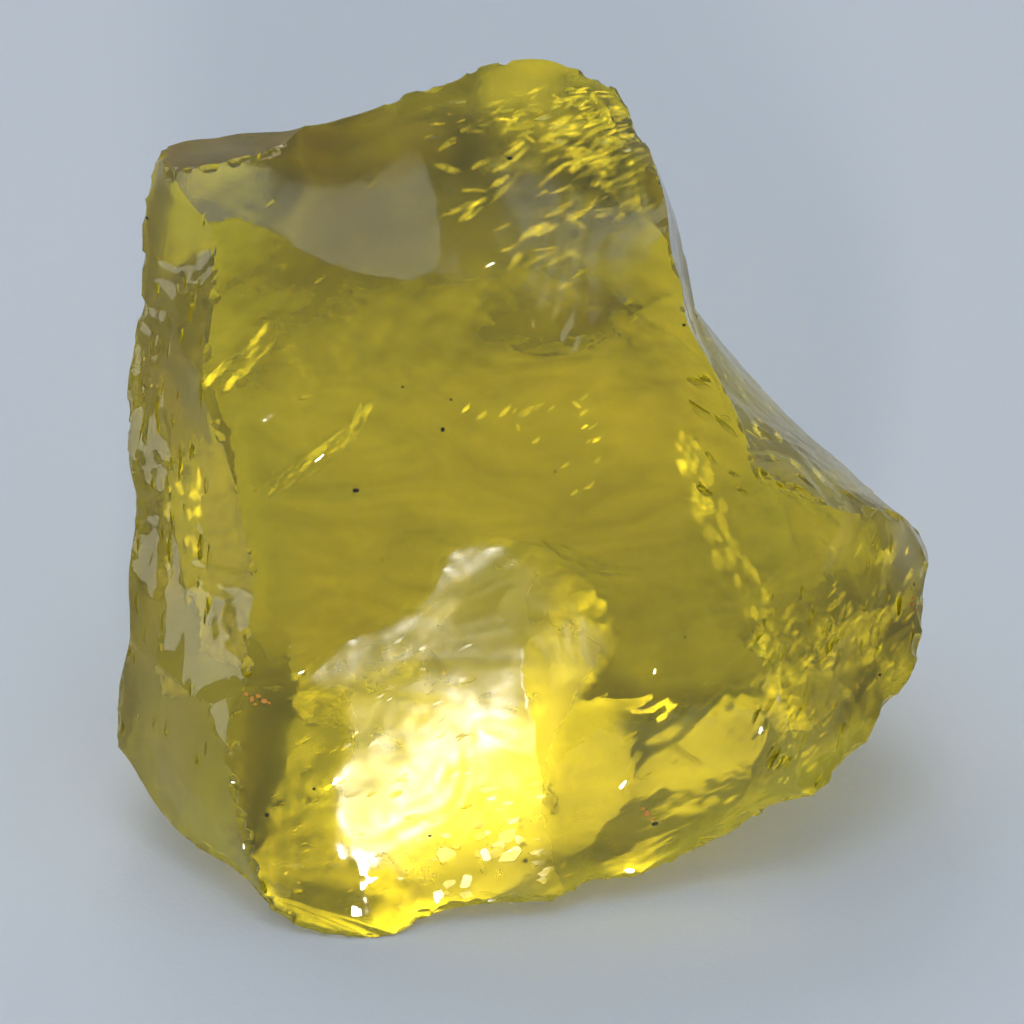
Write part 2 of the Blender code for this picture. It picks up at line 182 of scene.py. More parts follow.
def sheet(name, points, outward, lift=1.5, smooth=0.4, cell=0.2, swell=0.06, ripple=0.007, hackle=0.012,
          rough=0.010, bruise=None, seed=0):
    """The cutter of one fracture: everything outside a sheet bent through the points.

    swell, ripple, hackle and rough are heights in mm: long waves, rings about the point of the blow
    (bruise), rays from it, and a fine unevenness.
    """
    pts = np.array(points)
    mid = pts.mean(0)
    normal = np.array(outward, float) / np.linalg.norm(outward)
    u = np.cross(normal, (0, 0, 1.0) if abs(normal[2]) < 0.9 else (0, 1.0, 0))
    u /= np.linalg.norm(u)
    v = np.cross(normal, u)
    flat = np.c_[(pts - mid) @ u, (pts - mid) @ v]
    ring = [(38.4 * math.cos(t), 38.4 * math.sin(t)) for t in np.arange(12) * math.pi / 6]
    bend = fitted(np.r_[flat, np.array(ring)], np.r_[(pts - mid) @ normal, np.full(12, lift)], smooth)

    bm = bmesh.new()
    steps = int(2 * REACH / cell)
    bmesh.ops.create_grid(bm, x_segments=steps, y_segments=steps, size=REACH)
    rim = [e for e in bm.edges if e.is_boundary]
    raised = [g for g in bmesh.ops.extrude_edge_only(bm, edges=rim)["geom"] if isinstance(g, bmesh.types.BMVert)]
    top = {g for g in raised}
    for g in raised:
        g.co.z = 1.0
    bmesh.ops.contextual_create(bm, geom=[e for e in bm.edges if e.verts[0] in top and e.verts[1] in top])
    mesh = bpy.data.meshes.new(name)
    bm.to_mesh(mesh)
    bm.free()
    co = np.empty(len(mesh.vertices) * 3, np.float32)
    mesh.vertices.foreach_get("co", co)
    co = co.reshape(-1, 3).astype(float)
    place = CENTRE - mid
    q = co[:, :2] + (place @ u, place @ v)
    low = co[:, 2] < 0.5
    h = np.full(len(co), float(place @ normal) + 30.0)
    b = np.array(bruise if bruise is not None else pts[0])
    b = np.array([(b - mid) @ u, (b - mid) @ v])
    p = q[low]
    away = p - b
    far = np.hypot(*away.T)
    turn = np.arctan2(away[:, 1], away[:, 0])
    wobble = fractal(p[:, 0] / 6, p[:, 1] / 6, seed + 5, 3)
    rings = np.sin(2 * math.pi * (far / 1.5 + 2.4 * wobble + 1.6 * np.log1p(far / 3)))
    patch = np.clip(0.5 + 0.9 * grain(p[:, 0] / 4.2, p[:, 1] / 4.2, seed + 9), 0, 1)
    rays = fractal(turn * 22, far / 5, seed + 13, 3)
    h[low] = (bend(p) + swell * fractal(p[:, 0] / 4.5, p[:, 1] / 4.5, seed, 2)
              + ripple * rings * patch + hackle * rays * np.clip(far / 10, 0, 1) * (1 - 0.6 * patch)
              + rough * fractal(p[:, 0] / 0.9, p[:, 1] / 0.9, seed + 21, 3))
    out = (mid + q[:, :1] * u + q[:, 1:] * v + h[:, None] * normal) * MM
    mesh.vertices.foreach_set("co", out.astype(np.float32).ravel())
    mesh.update()
    bm = bmesh.new()
    bm.from_mesh(mesh)
    if bm.calc_volume(signed=True) < 0:
        bmesh.ops.reverse_faces(bm, faces=bm.faces[:])
        bm.to_mesh(mesh)
    bm.free()
    return mesh_object(name, mesh, cutters)


def cut(ob, other, operation="DIFFERENCE"):
    """Applies one Boolean; the cutter is left for drop()."""
    m = ob.modifiers.new("cut", "BOOLEAN")
    m.operation = operation
    m.object = other
    m.solver = "MANIFOLD"
    mesh = bpy.data.meshes.new_from_object(ob.evaluated_get(bpy.context.evaluated_depsgraph_get()))
    ob.modifiers.clear()
    old, ob.data = ob.data, mesh
    bpy.data.meshes.remove(old)


def drop(ob):
    mesh = ob.data
    bpy.data.objects.remove(ob)
    bpy.data.meshes.remove(mesh)


FINE = 0.16
FACES = [
    # name, points, outward, settings
    ("front_face", lambda: world(LEFT_RIDGE[2:12], NEAR_RIDGE[3:], GLOW_RIDGE[:6], [
        (330, 280, -0.6), (330, 450, -1.0), (430, 260, -0.6), (450, 420, -1.4), (560, 280, -0.3),
        (580, 420, -1.0), (640, 320, 0.0), (650, 480, -0.6), (740, 560, 0.0), (560, 560, -1.4),
        (175, 175, -0.6), (190, 200, -0.5), (300, 150, 0.3), (420, 150, 0.5), (540, 120, 2.0), (600, 150, 2.0),
        (665, 199, 0.5), (672, 255, 0.4), (250, 760, -1.4), (560, 760, -2.0), (760, 700, -0.6), (850, 560, 0.2)]),
     EYE, dict(cell=FINE)),
    ("upper_front", lambda: world(TOP_EDGE[3:], NEAR_RIDGE[:4], [
        (392, 125, 2.1), (421, 150, 1.25), (437, 190, 0.6), (470, 260, -0.35), (560, 180, 1.5), (500, 200, 0.9),
        (600, 250, 0.5), (480, 110, 2.8), (560, 100, 3.5), (610, 130, 3.2), (540, 320, -0.5), (640, 200, 1.4),
        (175, 175, -1.2), (230, 230, -1.5), (300, 170, -0.6), (300, 300, -1.6), (200, 390, -2.0), (300, 500, -2.4),
        (450, 600, -2.8), (600, 500, -2.2), (720, 440, -0.8), (800, 560, -0.5), (246, 700, -2.6)]),
     EYE, dict(cell=FINE)),
    ("upper_left_front", lambda: world(TOP_RIDGE, LEFT_RIDGE[:2], [
        (299, 130, 2.2), (340, 117, 2.35), (392, 100, 2.85), (392, 125, 2.0), (421, 150, 1.2), (433, 190, 0.5),
        (300, 220, 0.1), (350, 260, -0.45), (250, 200, 0.1), (445, 240, -0.25),
        (214, 249, -0.7), (213, 300, -1.0), (300, 450, -1.9), (450, 420, -2.3), (560, 260, -1.2), (520, 100, 1.6),
        (600, 150, 0.6), (650, 480, -2.4), (246, 700, -2.4), (600, 700, -3)]),
     EYE, dict(cell=FINE)),
    ("left_side", lambda: world(LEFT_RIDGE[:12], LEFT_EDGE[:12], [
        (175, 250, 1.1), (170, 330, 1.4), (185, 420, 1.2), (195, 500, 1.1), (200, 600, 1.1),
        (233, 709, -0.9), (228, 760, -1.3), (118, 718, 3.6), (125, 790, 3.0), (250, 850, -1.2)]),
     (-0.75, -0.55, 0.3), dict(cell=FINE, swell=0.12, ripple=0.010, hackle=0.022, rough=0.014)),
    ("lower_left", lambda: world(LEFT_RIDGE[11:], LEFT_EDGE[11:], LEFT_FOOT[1:], [
        (185, 700, 1.3), (190, 780, 1.2),
        (254, 580, -1.6), (129, 560, 2.4), (239, 480, -2.2), (190, 600, -0.4)]),
     (-0.6, -0.75, 0.2), dict(cell=FINE, swell=0.09, ripple=0.010, hackle=0.018, rough=0.013)),
    ("glow_face", lambda: world(GLOW_RIDGE[:6], FRONT_FOOT[1:], RIGHT_FOOT[:6], LEFT_RIDGE[11:], [
        (420, 700, -1.2), (500, 640, -1.5), (500, 760, -0.9), (350, 760, -0.9), (350, 850, -0.5), (460, 840, -0.4),
        (254, 595, -1.6), (300, 500, -2.4), (620, 740, -1.2), (640, 840, 0.2), (700, 700, -1.6), (604, 580, -2.2),
        (760, 800, 0.2)]), (0, -0.95, 0.3), dict(cell=FINE, swell=0.07, ripple=0.006, hackle=0.018, rough=0.014)),
    ("right_front", lambda: world(GLOW_RIDGE[6:], RIGHT_FOOT[4:], [
        (640, 560, -1.1), (700, 560, -0.5), (760, 560, 0.0), (680, 680, -0.3), (620, 760, -0.1), (740, 720, 0.4),
        (600, 840, 0.75), (570, 700, -1.0), (755, 500, 0.2),
        (560, 480, -2.2), (700, 420, -1.2), (440, 760, -1.8), (440, 880, -0.6), (850, 560, 0.0), (850, 700, 0.6)]),
     (0.1, -0.95, 0.3), dict(cell=FINE)),
    ("lobe_front", lambda: world(SHOULDER_RIDGE[1:5], CREASE_1, LOBE_EDGE[12:], [
        (800, 560, 0.4), (800, 640, 0.5), (800, 720, 0.7), (790, 790, 1.3),
        (750, 620, 0.1), (720, 500, -0.9), (700, 720, -0.8), (720, 830, 0.6), (600, 500, -2.6)]),
     (0.35, -0.85, 0.35), dict(cell=FINE, swell=0.10, ripple=0.010, hackle=0.03, rough=0.014)),
    ("lobe_middle", lambda: world(SHOULDER_RIDGE[4:7], CREASE_1, CREASE_2, LOBE_EDGE[10:12], [
        (790, 560, -0.4), (780, 700, -0.4), (700, 600, -2.6), (940, 560, 4.4), (930, 640, 3.4)]),
     (0.5, -0.75, 0.35), dict(cell=FINE, swell=0.10, ripple=0.010, hackle=0.03, rough=0.014)),
    ("lobe_end", lambda: world(SHOULDER_RIDGE[6:], CREASE_2, LOBE_EDGE[4:9], [
        (830, 560, 0.6), (820, 640, 0.6), (780, 600, -1.0), (840, 740, 1.0)]), (0.65, -0.65, 0.3), dict(cell=FINE, lift=2.5, swell=0.08, ripple=0.010, hackle=0.025, rough=0.014)),
    ("lobe_tip", lambda: world(LOBE_EDGE[:5], [(905, 508, 8.0), (909, 522, 5.8), (923, 554, 5.2)]), (0.9, -0.1, 0.4),
     dict(cell=FINE, lift=3)),
    ("left_under", lambda: world(LEFT_FOOT) + mm((-9.0, -6.8, 0), (-11.5, -2.5, 0), (-12.5, 2, 0),
        (-6.5, -9.6, -0.6), (-3, -8.5, -1.2)), (-0.45, -0.35, -0.8), dict(cell=0.25)),
    ("front_under", lambda: world(FRONT_FOOT, [(480, 915, 0.4), (540, 920, 0.6)]) + mm(
        (-8.2, -7.6, 0), (-6.0, -8.5, 0), (-3.8, -7.9, 0), (-12, -4, -0.8), (3, -4, -1.4)), (-0.1, -0.6, -0.8), dict(cell=0.2)),
    ("right_under", lambda: world(RIGHT_FOOT[:10]) + mm((-3.2, -7.4, 0), (0.2, -2.8, 0), (2.6, 2.5, 0), (3.2, 8.5, 0),
        (-6.5, -9.4, -0.8), (8.5, 4, 1.5), (8, 8.5, 1.4)), (0.3, -0.5, -0.8), dict(cell=0.2)),
    ("lobe_under", lambda: world(RIGHT_FOOT[9:], LOBE_EDGE[8:]) + mm((8.5, 2.5, 1.5), (10.0, 7.5, 2.0)), (0.5, -0.3, -0.8),
     dict(cell=0.25)),
    ("top", lambda: world(TOP_RIDGE, TOP_EDGE_LEFT, [(345, 100, 2.3), (402, 80, 3.0), (523, 40, 4.6)]),
     (-0.1, -0.2, 0.95), dict(cell=FINE)),
    ("corner", lambda: world(CORNER_EDGE, [
        (600, 110, 3.4), (625, 150, 2.6), (651, 165, 2.4), (530, 50, 2.5), (530, 100, 1.6), (600, 220, 0.3), (672, 230, 0.0),
        (715, 330, 0.0), (740, 420, -0.8)]) + mm((17, -2, 9), (13, 0, 2), (14, 8, 14), (12, 12, 8)), (0.7, -0.4, 0.5),
     dict(cell=FINE)),
    ("corner_back", lambda: world(CORNER_EDGE[1:], RIGHT_EDGE[:2]) + mm((2.6, 12.6, 23.5), (4.0, 12.6, 20), (1.0, 12.6, 25.3),
        (7.5, 9, 16)), (0.7, 0.5, 0.5), dict(cell=0.25)),
    ("back_left", lambda: world(LEFT_EDGE[:13]) + mm((-13.2, 7.5, 18), (-13.6, 9.0, 12), (-12.8, 9.0, 4), (-12.0, 8.0, 0),
        (-14.6, 3.5, 4), (-13.4, 3.0, 0)), (-1, 0.15, 0), dict(cell=0.25)),
    ("back", lambda: world(TOP_EDGE_LEFT, TOP_EDGE, [(600, 66, 4.8)]) + mm((-11, 8.8, 18), (-4, 9.9, 18), (3, 11.0, 18),
        (-10, 9.6, 10), (-3, 10.6, 11), (4, 11.2, 10), (8, 10.4, 9), (-8, 9.5, 3), (-1, 10.45, 3), (5, 10.7, 2), (8, 10.1, 2),
        (-7, 9.5, 0), (0, 10.4, 0), (6, 10.5, 0)), (0, 1, 0), dict(cell=0.25)),
    ("back_scar", lambda: mm((-13.4, 6.4, 11), (-13.2, 6.0, 4), (-10.2, 9.7, 8), (-7.0, 11.0, 12), (-6.0, 10.6, 3), (-9.0, 8.9, 0.5),
        (-10, 11.2, 17), (-13.4, 7.9, 16), (-3, 13.6, 8), (-6, 14.5, 22), (-15.4, 6, 24), (-14.6, 3, 14), (-14.4, 3, 2)),
     (-0.6, 0.8, 0), dict(cell=0.25)),
    ("back_right", lambda: world(SHOULDER_EDGE[3:], LOBE_EDGE[:2]) + mm((9.8, 10.0, 6), (9.0, 9.8, 0), (12.8, 8.6, 6), (13, 8.0, 1),
        (5.5, 12.5, 16), (5.5, 11.2, 6), (4.5, 11.0, 0)), (0.45, 0.85, 0.1), dict(cell=0.25)),
    ("lobe_back", lambda: world(LOBE_EDGE[:10]) + mm((14.6, 6.9, 6), (13.8, 7.0, 3), (13.0, 7.2, 0)), (0.9, 0.35, -0.2),
     dict(cell=0.25)),
]

bpy.ops.mesh.primitive_cube_add(size=1)
stone = bpy.context.object
stone.name = "topaz"
co = np.array([v.co[:] for v in stone.data.vertices])
stone.data.vertices.foreach_set("co", ((co * (34, 28, 30) + (0, 0, 15.0)) * MM).astype(np.float32).ravel())
stone.data.update()

for k, (name, points, outward, kw) in enumerate(FACES):
    s = sheet(name, points(), outward, seed=100 * k, **kw)
    cut(stone, s)
    drop(s)

shoulder = sheet("shoulder", world(SHOULDER_EDGE, SHOULDER_RIDGE, [(800, 450, 4.5), (740, 400, 4.5)]), (0.4, 0.1, 0.9),
                 cell=FINE, swell=0.12, ripple=0.012, hackle=0.03, rough=0.02, seed=5000)
notch = sheet("right_side", world(NEAR_RIDGE, RIGHT_EDGE, [(698, 330, 5.0), (730, 400, 2.5), (640, 120, 2.0), (660, 173, 5.4)])
              + mm((7.5, 9.5, 18)), (1, -0.1, 0.1), cell=FINE, seed=5100)
behind = sheet("right_back", world(RIGHT_EDGE, [(700, 325, 5.6)]) + mm((4.6, 11.8, 20), (5.4, 11.8, 16), (3.6, 12.4, 24),
    (6.9, 8.5, 14)), (0.95, 0.4, 0.1), cell=0.25, seed=5200, lift=4)
cut(notch, behind, "UNION")
cut(notch, shoulder, "INTERSECT")
cut(stone, notch)
drop(notch)
drop(behind)
drop(shoulder)
print("stone", len(stone.data.polygons), [round(d * 1000, 2) for d in stone.dimensions])



# ---------------------------------------------------------------- chips along the ridges
def seen(p):
    """Across and down in the front view's units of world points in mm."""
    q = np.atleast_2d(p) - (np.array(MIDDLE) - DISTANCE * AHEAD)
    far = q @ AHEAD
    return np.c_[512 + q[:, 0] / far * DISTANCE / UNIT, 512 - (q @ UP) / far * DISTANCE / UNIT]


def crests(ob, sharper=28):
    """Middles, outward directions, lengths and runs of the sharp outer edges, in mm."""
    bm = bmesh.new()
    bm.from_mesh(ob.data)
    rows = []
    for e in bm.edges:
        if len(e.link_faces) == 2 and e.calc_face_angle_signed(0.0) > math.radians(sharper):
            a, b = e.verts[0].co / MM, e.verts[1].co / MM
            n = (e.link_faces[0].normal + e.link_faces[1].normal).normalized()
            run = b - a
            if run.length > 1e-4:
                rows.append([*((a + b) / 2), *n, run.length, *run.normalized()])
    bm.free()
    return np.array(rows)


def chip(bm, where, outward, along, wide, deep, long_, rng):
    """One scoop: a flattened, uneven ball that reaches deep mm into the edge."""
    ball = bmesh.new()
    bmesh.ops.create_icosphere(ball, subdivisions=3 if wide > 0.45 else 2, radius=1.0)
    out = Vector(outward).normalized()
    side = Vector(along).cross(out)
    if side.length < 1e-3:
        side = Vector((1, 0, 0)).cross(out)
    side.normalize()
    run = side.cross(out)
    thick = max(deep * 1.5, wide * 0.45)
    a, b, c = rng.uniform(0, 6.28, 3)
    for v in ball.verts:
        p = v.co.copy()
        lump = 1 + 0.10 * math.sin(3.1 * p.x + a) * math.sin(2.7 * p.y + b) + 0.05 * math.sin(6 * p.z + 5 * p.x + c)
        p *= lump
        v.co = (Vector(where) + out * (thick - deep) + run * (p.x * wide * long_) + side * (p.y * wide)
                + out * (p.z * thick)) * MM
    me_ = bpy.data.meshes.new("chip")
    ball.to_mesh(me_)
    ball.free()
    bm.from_mesh(me_)
    bpy.data.meshes.remove(me_)


def chipped(ob, plans, seed):
    """Cuts the scoops in a few rounds; those of one round lie clear of one another."""
    rng = np.random.default_rng(seed)
    rows = crests(ob)
    at = seen(rows[:, :3])
    todo = []
    for box, count, wide, deep in plans:
        x0, y0, x1, y1 = box
        near = np.flatnonzero((at[:, 0] > x0) & (at[:, 0] < x1) & (at[:, 1] > y0) & (at[:, 1] < y1))
        if not len(near):
            continue
        weight = rows[near, 6] / rows[near, 6].sum()
        for k in rng.choice(near, size=count, p=weight):
            w = rng.uniform(*wide) * rng.uniform(0.7, 1.0)
            out = rows[k, 3:6] + rng.normal(0, 0.22, 3)
            run = rows[k, 7:10] + rng.normal(0, 0.25, 3)
            todo.append((rows[k, :3] + rng.normal(0, 0.03, 3), out, run, w, w * rng.uniform(*deep), rng.uniform(0.9, 1.9)))
    rounds = []
    for t in todo:
        for r in rounds:
            if all(np.linalg.norm(t[0] - o[0]) > 2.2 * (t[3] * t[5] + o[3] * o[5]) * 0.75 for o in r):
                r.append(t)
                break
        else:
            rounds.append([t])
    print("chips", len(todo), "rounds", len(rounds))
    for r in rounds:
        bm = bmesh.new()
        for where, out, run, w, d, long_ in r:
            chip(bm, where, out, run, w, d, long_, rng)
        me_ = bpy.data.meshes.new("chips")
        bm.to_mesh(me_)
        bm.free()
        c_ = mesh_object("chips", me_, cutters)
        cut(ob, c_)
        drop(c_)


chipped(stone, [
    # front view's box, how many, half width mm, depth over half width
    ((150, 140, 330, 190), 16, (0.15, 0.45), (0.25, 0.5)),
    ((380, 50, 640, 160), 26, (0.15, 0.5), (0.2, 0.45)),
    ((560, 60, 700, 330), 24, (0.12, 0.4), (0.25, 0.5)),
    ((190, 240, 270, 640), 22, (0.12, 0.35), (0.2, 0.4)),
    ((215, 640, 280, 905), 34, (0.12, 0.45), (0.3, 0.6)),
    ((110, 150, 165, 780), 36, (0.15, 0.55), (0.25, 0.5)),
    ((140, 780, 270, 910), 14, (0.2, 0.6), (0.25, 0.5)),
    ((262, 840, 600, 945), 44, (0.12, 0.5), (0.25, 0.55)),
    ((560, 780, 830, 900), 30, (0.2, 0.7), (0.25, 0.5)),
    ((740, 430, 920, 540), 40, (0.15, 0.6), (0.3, 0.6)),
    ((690, 300, 920, 520), 18, (0.2, 0.5), (0.25, 0.5)),
    ((800, 560, 935, 820), 36, (0.2, 0.75), (0.25, 0.5)),
], 7)


def terraced(ob, plans, seed):
    """Shallow many-sided steps in the skin, each with a flat floor that leans up and forward."""
    rng = np.random.default_rng(seed)
    tree = BVHTree.FromObject(ob, bpy.context.evaluated_depsgraph_get())
    eye = np.array(MIDDLE) - DISTANCE * AHEAD
    places = []
    for box, count, half, deep, lean, scatter, slant, length in plans:
        made = tries = 0
        while made < count and tries < 40 * count:
            tries += 1
            across, down = rng.uniform(box[0], box[2]), rng.uniform(box[1], box[3])
            hit, n, _, _ = tree.ray_cast(Vector(eye * MM), Vector(point(across, down, 0) - eye).normalized())
            if not hit:
                continue
            side, up = rng.normal(lean[0], scatter), rng.normal(lean[1], scatter)
            want = Vector((math.sin(math.radians(side)), -math.cos(math.radians(side)), 0)) * math.cos(math.radians(up))
            want.z = math.sin(math.radians(up))
            if want.dot(n) < 0.80:
                continue
            a = math.radians(slant + rng.normal(0, 7))
            run = Vector((math.cos(a), math.sin(a) * UP[1], math.sin(a) * UP[2]))
            run = (run - want * run.dot(want)).normalized()
            places.append((np.array(hit) / MM, want, rng.uniform(*half), rng.uniform(*deep), run, length * rng.uniform(0.6, 1.3)))
            made += 1
    rounds = []
    for t in places:
        for r in rounds:
            if all(np.linalg.norm(t[0] - o[0]) > 1.6 * (t[2] * t[5] + o[2] * o[5]) for o in r):
                r.append(t)
                break
        else:
            rounds.append([t])
    for r in rounds:
        bm = bmesh.new()
        for where, want, half, deep, u, length in r:
            v = want.cross(u)
            k, turn = int(rng.integers(5, 9)), rng.uniform(0, 6.28)
            ring = []
            for j in range(k):
                t_ = turn + 2 * math.pi * (j + rng.uniform(-0.3, 0.3)) / k
                rr = half * rng.uniform(0.6, 1.0)
                ring.append(u * math.cos(t_) * rr * length + v * math.sin(t_) * rr)
            low = [bm.verts.new((Vector(where) - want * deep + q) * MM) for q in ring]
            high = [bm.verts.new((Vector(where) + want * 1.2 + q * 1.5) * MM) for q in ring]
            bm.faces.new(low[::-1])
            bm.faces.new(high)
            for j in range(k):
                bm.faces.new((low[j], low[(j + 1) % k], high[(j + 1) % k], high[j]))
        bmesh.ops.recalc_face_normals(bm, faces=bm.faces[:])
        me_ = bpy.data.meshes.new("steps")
        bm.to_mesh(me_)
        bm.free()
        c_ = mesh_object("steps", me_, cutters)
        cut(ob, c_)
        drop(c_)
    print("steps", len(places), "rounds", len(rounds))


terraced(stone, [
    # front view's box, how many, half width mm, depth mm, lean of the floor (right, up), scatter, slant, length
    ((445, 828, 520, 866), 12, (0.12, 0.36), (0.03, 0.08), (0, 21), 3.0, 10, 1.5),
    ((436, 880, 480, 902), 7, (0.10, 0.30), (0.03, 0.07), (0, 21), 3.0, 10, 1.5),
    ((618, 862, 652, 878), 5, (0.10, 0.26), (0.03, 0.07), (0, 21), 3.0, 10, 1.5),
    ((250, 770, 560, 905), 60, (0.05, 0.16), (0.010, 0.035), (0, 21), 4.0, 15, 3.0),
    ((290, 640, 470, 780), 36, (0.04, 0.11), (0.008, 0.022), (0, 21), 4.5, 33, 5.0),
    ((755, 580, 850, 790), 44, (0.06, 0.17), (0.02, 0.06), (20, 24), 12.0, 64, 5.0),
    ((840, 530, 925, 700), 22, (0.06, 0.18), (0.02, 0.06), (30, 26), 12.0, 70, 4.0),
    ((120, 420, 215, 780), 30, (0.06, 0.20), (0.02, 0.05), (-48, 14), 10.0, 78, 4.5),
    ((150, 190, 205, 420), 16, (0.05, 0.16), (0.015, 0.05), (-50, 16), 10.0, 78, 5.0),
    ((420, 88, 640, 150), 20, (0.06, 0.18), (0.02, 0.06), (5, 30), 12.0, 14, 4.0),
    ((700, 330, 900, 505), 18, (0.08, 0.22), (0.02, 0.06), (20, 60), 10.0, -40, 4.0),
    ((560, 560, 740, 860), 16, (0.04, 0.12), (0.01, 0.03), (0, 20), 8.0, 30, 4.0),
    ((260, 180, 640, 560), 24, (0.03, 0.10), (0.008, 0.02), (0, 24), 6.0, 35, 6.0),
], 23)
print("stone", len(stone.data.polygons), [round(d * 1000, 2) for d in stone.dimensions])


# ---------------------------------------------------------------- where things lie, in the front view's units
deps = bpy.context.evaluated_depsgraph_get()
skin = BVHTree.FromObject(stone, deps)
EYE_AT = np.array(MIDDLE) - DISTANCE * AHEAD


def ray(across, down):
    d = AHEAD + np.array([1, 0, 0]) * (across - 512) * UNIT / DISTANCE + UP * (512 - down) * UNIT / DISTANCE
    return d / np.linalg.norm(d)


def landing(across, down):
    """Place in mm and outward direction where the front view's point meets the stone."""
    hit, normal, _, _ = skin.ray_cast(Vector(EYE_AT * MM), Vector(ray(across, down)))
    return (np.array(hit) / MM, np.array(normal)) if hit else (None, None)


def within(poly, q):
    """Distance in the polygon's own units, positive inside, of the points q."""
    poly = np.array(poly, float)
    a, b = poly, np.roll(poly, -1, 0)
    odd = np.zeros(len(q), bool)
    near = np.full(len(q), 1e9)
    for (x0, y0), (x1, y1) in zip(a, b):
        cross = (y0 > q[:, 1]) != (y1 > q[:, 1])
        odd ^= cross & (q[:, 0] < (x1 - x0) * (q[:, 1] - y0) / ((y1 - y0) or 1e-9) + x0)
        d = np.array([x1 - x0, y1 - y0])
        t = np.clip(((q - (x0, y0)) @ d) / (d @ d), 0, 1)
        near = np.minimum(near, np.hypot(*(q - (x0, y0) - t[:, None] * d).T))
    return np.where(odd, near, -near)


def smooth(x, low, high):
    t = np.clip((x - low) / (high - low), 0, 1)
    return t * t * (3 - 2 * t)


# ---------------------------------------------------------------- how dull each place of the skin is
me = stone.data
co = np.empty(len(me.vertices) * 3, np.float32)
no = np.empty(len(me.vertices) * 3, np.float32)
me.vertices.foreach_get("co", co)
me.vertices.foreach_get("normal", no)
co, no = co.reshape(-1, 3).astype(float) / MM, no.reshape(-1, 3).astype(float)
at = seen(co)
facing = smooth(no @ EYE, 0.15, 0.4)
GLOW = [(300, 677), (337, 651), (393, 625), (434, 592), (452, 549), (503, 543), (560, 575), (604, 627), (610, 650),
        (585, 695), (562, 735), (550, 790), (560, 860), (575, 900), (440, 905), (400, 880), (345, 850), (335, 800), (348, 740),
        (345, 695), (320, 690)]
BROW = [(175, 175), (300, 125), (560, 55), (640, 95), (672, 260), (600, 330), (470, 300), (400, 290), (250, 260)]
hidden = np.maximum(smooth(no[:, 1], 0.05, 0.3), smooth(-no[:, 2], 0.35, 0.6) * 0.3)
satin = facing * smooth(within(GLOW, at), -12, 14) * (1 - hidden)
strip = facing * smooth(within([(752, 600), (800, 560), (880, 540), (930, 560), (925, 650), (860, 760), (770, 815),
                                (745, 760)], at), -8, 12) * (1 - hidden)
strip = np.maximum(strip, 2.0 * facing * smooth(within(BROW, at), -10, 25) * (1 - hidden))
for name, value in (("matt", hidden), ("satin", satin), ("strip", strip)):
    a_ = me.attributes.get(name) or me.attributes.new(name, "FLOAT", "POINT")
    a_.data.foreach_set("value", value.astype(np.float32))


# ---------------------------------------------------------------- materials
def nodes_of(name):
    m = bpy.data.materials.new(name)
    m.use_nodes = True
    t = m.node_tree
    t.nodes.clear()
    return m, t


def link(t, a, out, b, inp):
    t.links.new(a.outputs[out], b.inputs[inp])


def attribute(t, name):
    n = t.nodes.new("ShaderNodeAttribute")
    n.attribute_name = name
    return n


def noise(t, scale, detail=3.0, rough=0.5, warp=0.0):
    c_ = t.nodes.new("ShaderNodeTexCoord")
    n = t.nodes.new("ShaderNodeTexNoise")
    n.inputs["Scale"].default_value = scale
    n.inputs["Detail"].default_value = detail
    n.inputs["Roughness"].default_value = rough
    n.inputs["Distortion"].default_value = warp
    link(t, c_, "Object", n, "Vector")
    return n


def math_(t, op, a, b):
    n = t.nodes.new("ShaderNodeMath")
    n.operation = op
    for k, x in enumerate((a, b)):
        if isinstance(x, (int, float)):
            n.inputs[k].default_value = x
        else:
            t.links.new(x, n.inputs[k])
    return n.outputs[0]


def topaz_material():
    m, t = nodes_of("Topaz")
    out = t.nodes.new("ShaderNodeOutputMaterial")
    bsdf = t.nodes.new("ShaderNodeBsdfPrincipled")
    bsdf.inputs["Base Color"].default_value = BODY
    bsdf.inputs["Transmission Weight"].default_value = 1.0
    bsdf.inputs["IOR"].default_value = 1.62
    patches = noise(t, 420, 3, 0.6, 0.6).outputs["Fac"]
    r = math_(t, "MULTIPLY", math_(t, "MULTIPLY", patches, patches), 0.13)
    r = math_(t, "ADD", r, math_(t, "MULTIPLY", attribute(t, "matt").outputs["Fac"], HIDDEN))
    s = math_(t, "ADD", math_(t, "MULTIPLY", patches, 0.16), SATIN - 0.08)
    r = math_(t, "ADD", r, math_(t, "MULTIPLY", attribute(t, "satin").outputs["Fac"], s))
    r = math_(t, "ADD", r, math_(t, "MULTIPLY", attribute(t, "strip").outputs["Fac"], 0.08))
    t.links.new(r, bsdf.inputs["Roughness"])
    absorb = t.nodes.new("ShaderNodeVolumeAbsorption")
    absorb.inputs["Color"].default_value = (0.88, 0.80, 0.05, 1)
    absorb.inputs["Density"].default_value = 36.0
    link(t, bsdf, "BSDF", out, "Surface")
    link(t, absorb, "Volume", out, "Volume")
    return m


BODY = (0.98, 0.785, 0.032, 1)
HIDDEN = 0.20
SATIN = 0.26

stone.data.materials.clear()
stone.data.materials.append(topaz_material())
stone.data.shade_smooth()
stone.data.set_sharp_from_angle(angle=math.radians(28))
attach(stone, "root")
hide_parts("raw_topaz")


